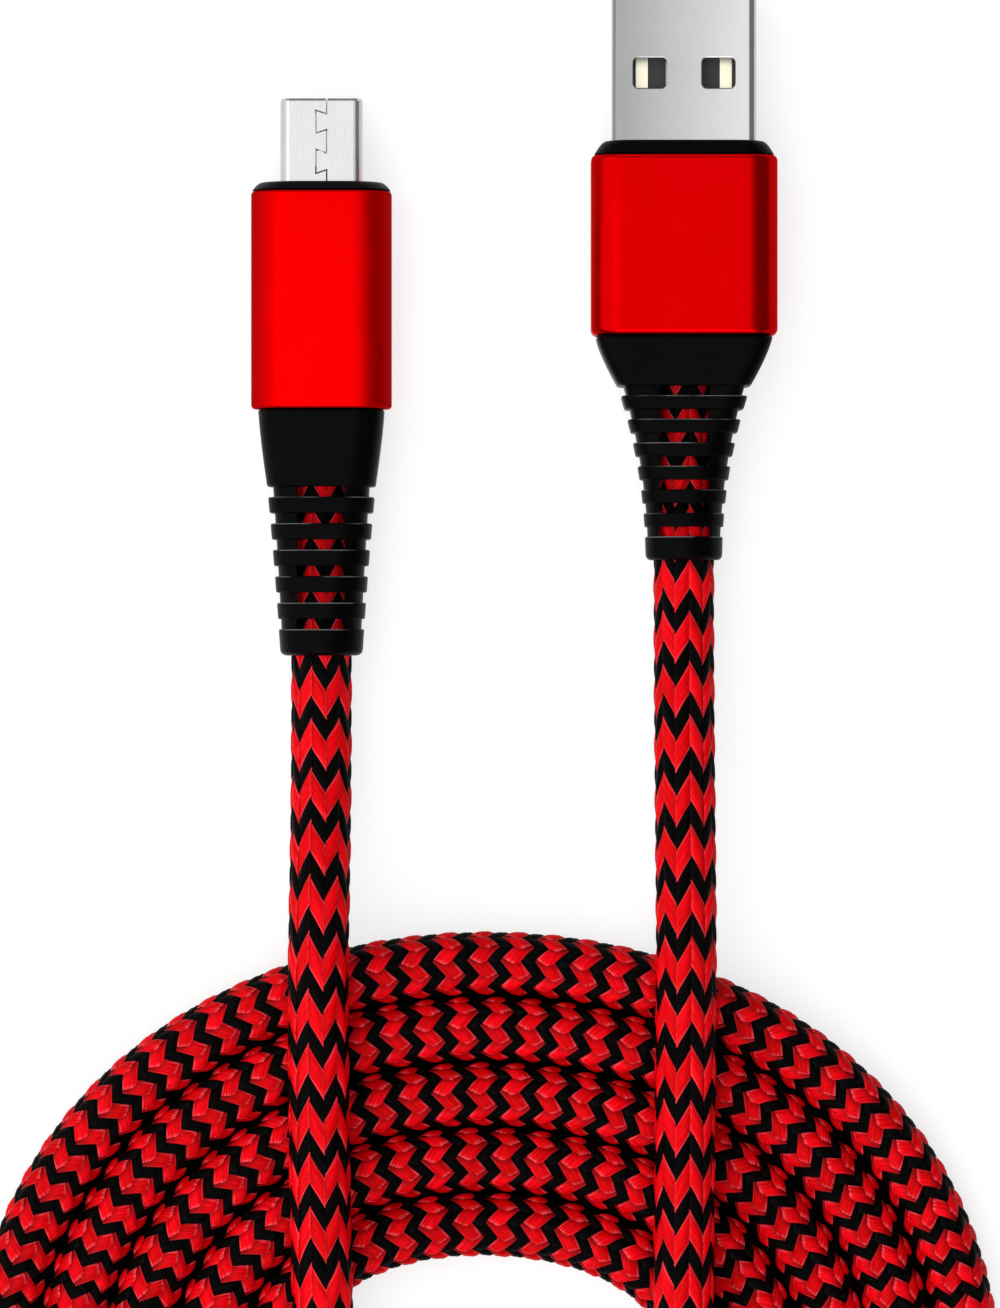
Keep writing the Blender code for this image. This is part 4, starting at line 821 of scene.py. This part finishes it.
def make_studio():
    scene = bpy.context.scene
    scene.view_settings.view_transform = "Standard"
    centre = Vector(PICTURE_MIDDLE) * MM
    distance = PICTURE_HEIGHT * MM * LENS / SENSOR
    camera = scene.camera = linked("camera", bpy.data.cameras.new("camera"))
    camera.location = centre + Vector((0, 0, distance))
    camera.data.lens, camera.data.sensor_width = LENS, SENSOR
    camera.data.clip_start, camera.data.clip_end = distance / 10, distance * 10

    world = scene.world = bpy.data.worlds.new("studio_room")
    world.use_nodes = True
    tree = world.node_tree
    tree.nodes.clear()
    room, seen = (made(tree, "ShaderNodeBackground", {0: WHITE, 1: strength}) for strength in (ROOM_LIGHT, 1.0))
    camera_ray = made(tree, "ShaderNodeLightPath", None, "Is Camera Ray")
    add(tree, "ShaderNodeOutputWorld", {0: made(tree, "ShaderNodeMixShader", {0: camera_ray, 1: room, 2: seen})})
    for name, place, size, radiance in LAMPS:
        lamp(name, place, centre, size, radiance)

    material, tree, shader = new_material(
        "white_table", base_color=TABLE_GREY, roughness=0.6, specular_ior_level=0.1, emission_color=WHITE)
    rays = add(tree, "ShaderNodeLightPath").outputs
    shown, glossy, through = (Output(rays[f"Is {kind} Ray"]) for kind in ("Camera", "Glossy", "Transmission"))
    shown = work_out(tree, "MAXIMUM", shown, work_out(tree, "MAXIMUM", glossy, through))
    feed(shader.inputs["Emission Strength"], shown * TABLE_GLOW)
    mesh = bpy.data.meshes.new("table_top")
    corners = [(x * TABLE_REACH, y * TABLE_REACH, 0) for x, y in ((-1, -1), (1, -1), (1, 1), (-1, 1))]
    mesh.from_pydata(corners, [], [(0, 1, 2, 3)])
    mesh.materials.append(material)
    table = linked("table_top", mesh)


# ---- the cable ----

def side_reaches(line):
    """How far the core bulges to its left and right: out to its neighbour where another turn lies against it, so that
    its dark keels fill the crease between the turns as painted shade.
    """
    tree = KDTree(len(line))
    for index, point in enumerate(line):
        tree.insert(point, index)
    tree.balance()
    reaches = []
    for index, point in enumerate(line):
        side = axes_at(line, index)[0]
        pair = []
        for hand in (-1, 1):
            near = [(found - point).dot(side * hand) for found, other, gap in tree.find_range(point, TOUCHING)
                    if abs(other - index) > TOUCHING * 2 and abs(found.z - point.z) < SAME_LAYER]
            ahead = [distance for distance in near if distance > CABLE_DIAMETER / 2]
            pair.append(max(ahead) / 2 + KEEL_OVERLAP if ahead else CORE_SIDE)
        reaches.append(pair)
    for _ in range(KEEL_PASSES):
        reaches = [[(a[k] + b[k] * 2 + c[k]) / 4 for k in (0, 1)]
                   for a, b, c in zip(reaches[:1] + reaches, reaches, reaches[1:] + reaches[-1:])]
    return reaches


def make_core(line, finish):
    """The dark ground under the yarns, partly the inner jacket and partly painted shade between them, with a keel on
    each side that closes up to the turn beside it as painted shade in the crease between turns.
    """
    rings = []
    for index, (point, (left, right)) in enumerate(zip(line, side_reaches(line))):
        side, up = axes_at(line, index)
        rings.append([])
        for step in range(CORE_SIDES):
            angle = 2 * math.pi * step / CORE_SIDES
            reach = math.cos(angle)
            keel = (right if reach > 0 else left) - CORE_RADIUS
            radius = CORE_RADIUS + keel * abs(reach) ** KEEL_POWER
            rings[-1].append(point + (side * reach + up * math.sin(angle)) * radius)
    return as_piece("cable_core", solid(rings), Vector(), finish, 180)


def lay_cable(finishes):
    line = cable_route()
    lengths = lengths_along(line)
    ends = [Vector((*COIL_MIDDLE, 0)) + point for point in coil_route()[::len(coil_route()) - 1]]
    first, last = (min(range(len(line)), key=lambda index: (line[index] - end).length) for end in ends)
    stations = stations_on(line, lengths[first], lengths[last])
    tight = [index for index, station in enumerate(stations) if station[3] > TIGHT]
    first_band, last_band = tight[0] // STATIONS + 1, tight[-1] // STATIONS
    spans = {"micro_lead": (0, first_band), "coil": (first_band, last_band),
             "usb_a_lead": (last_band, (len(stations) - 1) // STATIONS + 1)}
    core = make_core(line, finishes["core"])
    tree = braid_tree()
    for span, (low, high) in spans.items():
        on_coil = span == "coil"
        grid, widths, sunk, crown = COIL_FLOATS if on_coil else LEAD_FLOATS
        for colour, shift in (("red", 0.0), ("black", 0.5)):
            finish = finishes["coil_red_yarn" if on_coil and colour == "red" else colour + "_yarn"]
            piece = grown(f"{span}_{colour}_yarn", route_mesh("route", stations), tree, {
                "Float": pattern_mesh("float_of_yarn", *grid, finish), "First band": low, "Bands": high - low,
                "Colour shift": shift, "Yarn width": widths[colour], "Crown": crown * MM,
                "Sunk": (0.0 if colour == "red" else sunk) * MM, "Seed": 7, "Yarn": finish,
                "Unevenness": UNEVENNESS, "Tuck": TUCK, "Limbs": LIMBS, "Stations": STATIONS,
                "Lean tone": PAINTED_LEAN_SHADE if on_coil else 0.0, "Square end": SQUARE_END if on_coil else 0.0,
            })
            piece.data.shade_smooth()
            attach(piece, "base")
    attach(core, "base")
    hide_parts("micro_lead", "cable_coil", "usb_a_lead", "micro_cable_tail", "usb_a_cable_tail")
    path = [tuple(point * MM) for point in line]


# ---- the moulded and metal parts of the plugs, in mm along each plug's own axis ----

def ring(width, height, radius, y, steps=9):
    """A rounded rectangle round the Y axis, with extra points that keep the light even on its flat sides."""
    radius = min(radius, width / 2, height / 2)
    points = []
    for index, (side, end) in enumerate(((1, 1), (-1, 1), (-1, -1), (1, -1))):
        middle = Vector((side * (width / 2 - radius), end * (height / 2 - radius)))
        angles = [math.pi / 2 * (index + step / steps) for step in range(steps + 1)]
        arc = [middle + radius * Vector((math.cos(angle), math.sin(angle))) for angle in angles]
        first, last = (min(HOLD, abs(middle[(index + turn) % 2])) for turn in (1, 0))
        before = Vector((math.sin(angles[0]), -math.cos(angles[0]))) * first
        after = Vector((-math.sin(angles[-1]), math.cos(angles[-1]))) * last
        points += [arc[0] + before] + arc + [arc[-1] + after]
    return [Vector((point.x, y, point.y)) for point in points]


def round_ring(diameter, y):
    return ring(diameter, diameter, diameter / 2, y)


def rim(width, height, radius, inset, reach, y, steps):
    """The rings of a rim that is rounded over, from its end at y to where the full section begins."""
    rings = []
    for step in range(steps + 1):
        turn = math.pi / 2 * step / steps
        sunk = inset * (1 - math.sin(turn))
        rings.append(ring(width - 2 * sunk, height - 2 * sunk, radius - sunk, y + reach * (1 - math.cos(turn))))
    return rings


def keystone(grown, y, steps=5):
    """The outline of the Micro-B shell, wide below and narrower on top, let out all round."""
    half, tall, narrow, flank, corner = MICRO_SHELL
    half, tall, narrow, flank = half + grown, tall + grown, narrow + grown * 0.55, flank + grown * 0.35
    corners = [(half, -tall), (half, flank), (narrow, tall), (-narrow, tall), (-half, flank), (-half, -tall)]
    points = []
    for index, here in enumerate(map(Vector, corners)):
        before, after = Vector(corners[index - 1]) - here, Vector(corners[(index + 1) % 6]) - here
        reach = min(corner + grown * 0.4, before.length / 2.5, after.length / 2.5)
        start, end = here + before.normalized() * reach, here + after.normalized() * reach
        for step in range(steps + 1):
            t = step / steps
            points.append((1 - t) ** 2 * start + 2 * t * (1 - t) * here + t ** 2 * end)
    return [Vector((point.x, y, point.y)) for point in points]


def solid(rings, closed=False, outer=0):
    """A mesh through rings of points, the first marked as outer. A closed one joins its last ring to its first."""
    shape = bmesh.new()
    mark = shape.verts.layers.float.new("outer") if outer else None
    rows = [[shape.verts.new(point) for point in row] for row in rings]
    for row in rows[:outer]:
        for vertex in row:
            vertex[mark] = 1.0
    pairs = list(zip(rows, rows[1:])) + ([(rows[-1], rows[0])] if closed else [])
    for low, high in pairs:
        if len(low) == len(high):
            for i in range(len(low)):
                j = (i + 1) % len(low)
                shape.faces.new((low[i], low[j], high[j], high[i]))
        else:
            edges = [shape.edges.get((row[i - 1], row[i])) or shape.edges.new((row[i - 1], row[i]))
                     for row in (low, high) for i in range(len(row))]
            bmesh.ops.bridge_loops(shape, edges=edges)
    if not closed:
        shape.faces.new(rows[0])
        shape.faces.new(rows[-1])
    return shape


def smoothed(mesh, sharp):
    """Shades a mesh smooth, but for edges that turn by more than an angle in degrees."""
    mesh.shade_smooth()
    mesh.set_sharp_from_angle(angle=math.radians(sharp))


def as_piece(name, shape, axis, finish=None, sharp=50):
    """Puts a shape in millimetres on its plug's axis, with its faces outward."""
    bmesh.ops.remove_doubles(shape, verts=shape.verts, dist=0.0005)
    bmesh.ops.recalc_face_normals(shape, faces=shape.faces)
    bmesh.ops.scale(shape, vec=(MM, MM, MM), verts=shape.verts)
    bmesh.ops.translate(shape, vec=axis, verts=shape.verts)
    mesh = bpy.data.meshes.new(name)
    shape.to_mesh(mesh)
    shape.free()
    if finish:
        mesh.materials.append(finish)
    smoothed(mesh, sharp)
    return linked(name, mesh)


def hand_over(piece, node):
    """The finished piece takes the place of its node."""
    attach(piece, "base")
    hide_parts(node)


def carved(piece, cutters, edge, sharp=50):
    """Takes cutters away from a piece and breaks the edges that they leave."""
    for cutter in cutters:
        change = piece.modifiers.new("carve", "BOOLEAN")
        change.operation = "DIFFERENCE"
        change.solver = "EXACT"
        change.object = cutter
    bevel = piece.modifiers.new("edge", "BEVEL")
    bevel.width = edge * MM
    bevel.segments = 2
    bevel.limit_method = "ANGLE"
    bevel.angle_limit = math.radians(50)
    mesh = plain_mesh(piece)
    piece.modifiers.clear()
    piece.data = mesh
    mesh.name = piece.name
    smoothed(mesh, sharp)
    for cutter in cutters:
        bpy.data.objects.remove(cutter)


def joined(shape, rows):
    """Adds the sides and both ends of a bar to a shape."""
    for i in range(len(rows[0])):
        shape.faces.new((rows[0][i - 1], rows[0][i], rows[1][i], rows[1][i - 1]))
    for row in rows:
        shape.faces.new(row)
    return shape


def slot_cutter(spans, axis, radius):
    """Rounded bars that run through in Z. Each span is a bar's middle, width, length, lowest and highest point."""
    shape = bmesh.new()
    for x, y, width, length, low, high in spans:
        outline = [(x + p.x, y + p.z) for p in ring(width, length, radius, 0, 4)]
        joined(shape, [[shape.verts.new((*point, z)) for point in outline] for z in (low, high)])
    return as_piece("cutter", shape, axis)


def plug_axis(plug):
    """Where the plug's axis meets the front of its housing, in metres."""
    low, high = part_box(plug + "_housing")
    return Vector(((low.x + high.x) / 2, high.y, (low.z + high.z) / 2))


def make_housing(plug, axis, finish):
    """A drawn metal sleeve with both rims rounded over."""
    width, height, length, radius, wall = HOUSINGS[plug]
    front, back = HOUSING_RIMS[plug]
    rings = rim(width, height, radius, front, -front, 0, 4)
    rings += rim(width, height, radius, back, back, -length, 4)[::-1]
    inner = [ring(width - 2 * wall, height - 2 * wall, radius - wall, y) for y in (-length, 0)]
    sleeve = as_piece(plug + "_sleeve", solid(rings + inner, closed=True), axis, finish)
    hand_over(sleeve, plug + "_housing")


def make_collar(plug, axis, finish):
    """The black bezel between the metal shell and the housing."""
    width, height, length, radius, wall = HOUSINGS[plug]
    reach, front_width, front_height, inset = COLLARS[plug]
    base_width, base_height, base_radius = width - 2 * inset, height - 2 * inset, radius - inset
    spigot = (width - 2 * wall - 2 * FIT_GAP, height - 2 * wall - 2 * FIT_GAP, radius - wall)
    rings = [ring(*spigot, -COLLAR_DEPTH), ring(*spigot, SEAT_GAP)]
    for step in range(COLLAR_STEPS + 1):
        share = step / COLLAR_STEPS
        rings.append(ring(base_width + (front_width - base_width) * share,
                          base_height + (front_height - base_height) * share, base_radius,
                          SEAT_GAP + (reach - SEAT_GAP) * math.sin(share * math.pi / 2)))
    if plug == "micro":
        inner = [keystone(FIT_GAP, y) for y in (reach, -COLLAR_DEPTH)]
    else:
        wide, high, corner = STEEL_SHELL[:3]
        inner = [ring(wide + 2 * FIT_GAP, high + 2 * FIT_GAP, corner + FIT_GAP, y) for y in (reach, -COLLAR_DEPTH)]
    bezel = as_piece(plug + "_bezel", solid(rings + inner, closed=True), axis, finish)
    hand_over(bezel, plug + "_collar")


def make_boot(plug, axis, tree, finish):
    """The strain relief, with rounded ribs and slots through to the cable."""
    width, height, length, radius, wall = HOUSINGS[plug]
    start, front_height, neck, neck_height, end, taper, ribs, pitch, groove, end_ring, curve = BOOTS[plug]
    total = taper + ribs * pitch + groove + end_ring

    def section(s, inset=0.0):
        if s <= taper:
            share = (s / taper) ** TAPER_CURVE
            wide = start + (neck - start) * share
            high = front_height + (neck_height - front_height) * share
            left = 1.0
        else:
            left = (1 - (s - taper) / (total - taper)) ** curve
            wide = end + (neck - end) * left
            high = end + (neck_height - end) * left
        corner = (radius - wall) * left + end / 2 * (1 - left)
        return ring(wide - 2 * inset, high - 2 * inset, corner - inset / 2, -length - s)

    spigot = (width - 2 * wall - 2 * FIT_GAP, height - 2 * wall - 2 * FIT_GAP, radius - wall)
    rings = [ring(*spigot, SPIGOT_DEPTH - length), ring(*spigot, -length - SEAT_GAP)]
    rings += [section(s, inset) for s, inset in BOOT_FRONT]
    full = BOOT_FRONT[-1][0]
    rings += [section(full + (taper - full) * step / TAPER_STEPS) for step in range(1, TAPER_STEPS)]
    rounds = [RIB_ROUND * (1 - math.cos(math.radians(30 * step))) for step in range(4)]
    slots = []
    for index in range(ribs + 1):
        near = taper + index * pitch
        far = near + groove
        rings += [section(near - reach) for reach in reversed(rounds)] + [section(near + RIB_WALL)]
        rings += [section(far - RIB_WALL)] + [section(far + reach) for reach in rounds]
        slots.append((0, -length - (near + far) / 2, SLOT_WIDTHS[plug], groove, -height, height))
    rings += rim(end, end, end / 2, END_ROUNDS[plug], END_ROUND_LENGTH, -length - total, 5)[::-1]
    inner = []
    for diameter, places in ((CABLE_DIAMETER, (-length - total, -length - JACKET_END)),
                             (JACKET_DIAMETER, (-length - JACKET_END, SPIGOT_DEPTH - length))):
        inner += [round_ring(diameter + 2 * BORE_ROOM, y) for y in places]
    boot = as_piece(plug + "_strain_relief", solid(rings + inner, closed=True, outer=len(rings)), axis, finish)
    sizes = {"Taper": taper, "Length": total, "Pitch": pitch, "Groove": groove, "Front depth": GROOVE_FRONT,
             "End depth": GROOVE_END, "Round": RIB_ROUND, "Wall": RIB_WALL}
    modified(boot, "grooves", tree, {name: value * MM for name, value in sizes.items()} | {
        "Front": axis.y - length * MM, "Ribs": ribs, "Curve": curve, "Rubber": finish})
    carved(boot, [slot_cutter(slots, axis, SLOT_CORNER)], SLOT_EDGE)
    hand_over(boot, plug + "_boot")


def seam_cutter(axis, tip, root, below):
    """A thin slit that runs back along Y and steps from side to side."""
    places = [tip + SEAM_PAST] + [tip - (tip - root) * share for share in SEAM_JOGS] + [root - SEAM_PAST]
    line, swing = [], SEAM_SWING
    for first, second in zip(places, places[1:]):
        line += [Vector((swing, first)), Vector((swing, second))]
        swing = -swing
    for first, second in zip(line[1::2], line[2::2]):
        first.y -= SEAM_SLANT
        second.y += SEAM_SLANT
    sides = []
    for reach in (SLIT / 2, -SLIT / 2):
        side = []
        for index, here in enumerate(line):
            before = here - line[index - 1] if index else line[1] - here
            after = line[index + 1] - here if index + 1 < len(line) else before
            across = [Vector((way.y, -way.x)).normalized() for way in (before, after)]
            normal = (across[0] + across[1]).normalized()
            side.append(here + normal * reach / normal.dot(across[1]))
        sides.append(side)
    outline = sides[0] + sides[1][::-1]
    shape = bmesh.new()
    rows = [[shape.verts.new((point.x, point.y, below + z)) for point in outline] for z in SEAM_DEPTH]
    return as_piece("cutter", joined(shape, rows), axis)


def make_usb_a_shell(axis, finish):
    """The rolled steel shell, with its four windows and the open seam underneath."""
    width, height, radius, wall, tip, root = STEEL_SHELL
    rings = rim(width, height, radius, SHELL_EDGE, -SHELL_EDGE, tip, 6) + [ring(width, height, radius, root)]
    inner = [ring(width - 2 * wall, height - 2 * wall, radius - wall, y) for y in (root, tip)]
    shell = as_piece("usb_a_steel_shell", solid(rings + inner, closed=True), axis, finish)
    across, along, length, place, corner = WINDOW
    inside = height / 2 - wall - WINDOW_DEEPER
    windows = [(side, tip - length, across, along, low, high)
               for side in (-place, place) for low, high in ((inside, height), (-height, -inside))]
    carved(shell, [slot_cutter(windows, axis, corner), seam_cutter(axis, tip, root, -height / 2)], WINDOW_EDGE, 20)
    hand_over(shell, "usb_a_shell")


# ---- the finishes of the plugs' parts ----

def dress_plugs(finishes):
    slots = {
        "shell": "steel", "insulator": "tongue", "contact": "gold", "solder_tail": "gold", "collar": "black",
        "housing": "anodised", "boot": "black", "inner_mould": "mould", "cable_clamp": "steel", "jacket": "black",
        "latch": "steel", "cable_tail": "core", "lead": "core", "cable_coil": "core",
    } | {f"wire_{name}": f"wire_{name}" for name in WIRES}
    for node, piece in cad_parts.items():
        finish = next(finishes[look] for word, look in slots.items() if word in node)
        piece.data.materials.clear()
        piece.data.materials.append(finish)


make_studio()
finishes = make_finishes()
lay_cable(finishes)
dress_plugs(finishes)
grooves = rib_tree()
for plug in HOUSINGS:
    axis = plug_axis(plug)
    make_housing(plug, axis, finishes["anodised" if plug == "usb_a" else "satin"])
    make_collar(plug, axis, finishes["black"])
    make_boot(plug, axis, grooves, finishes["ribbed"])
make_usb_a_shell(plug_axis("usb_a"), finishes["painted_shade_steel"])
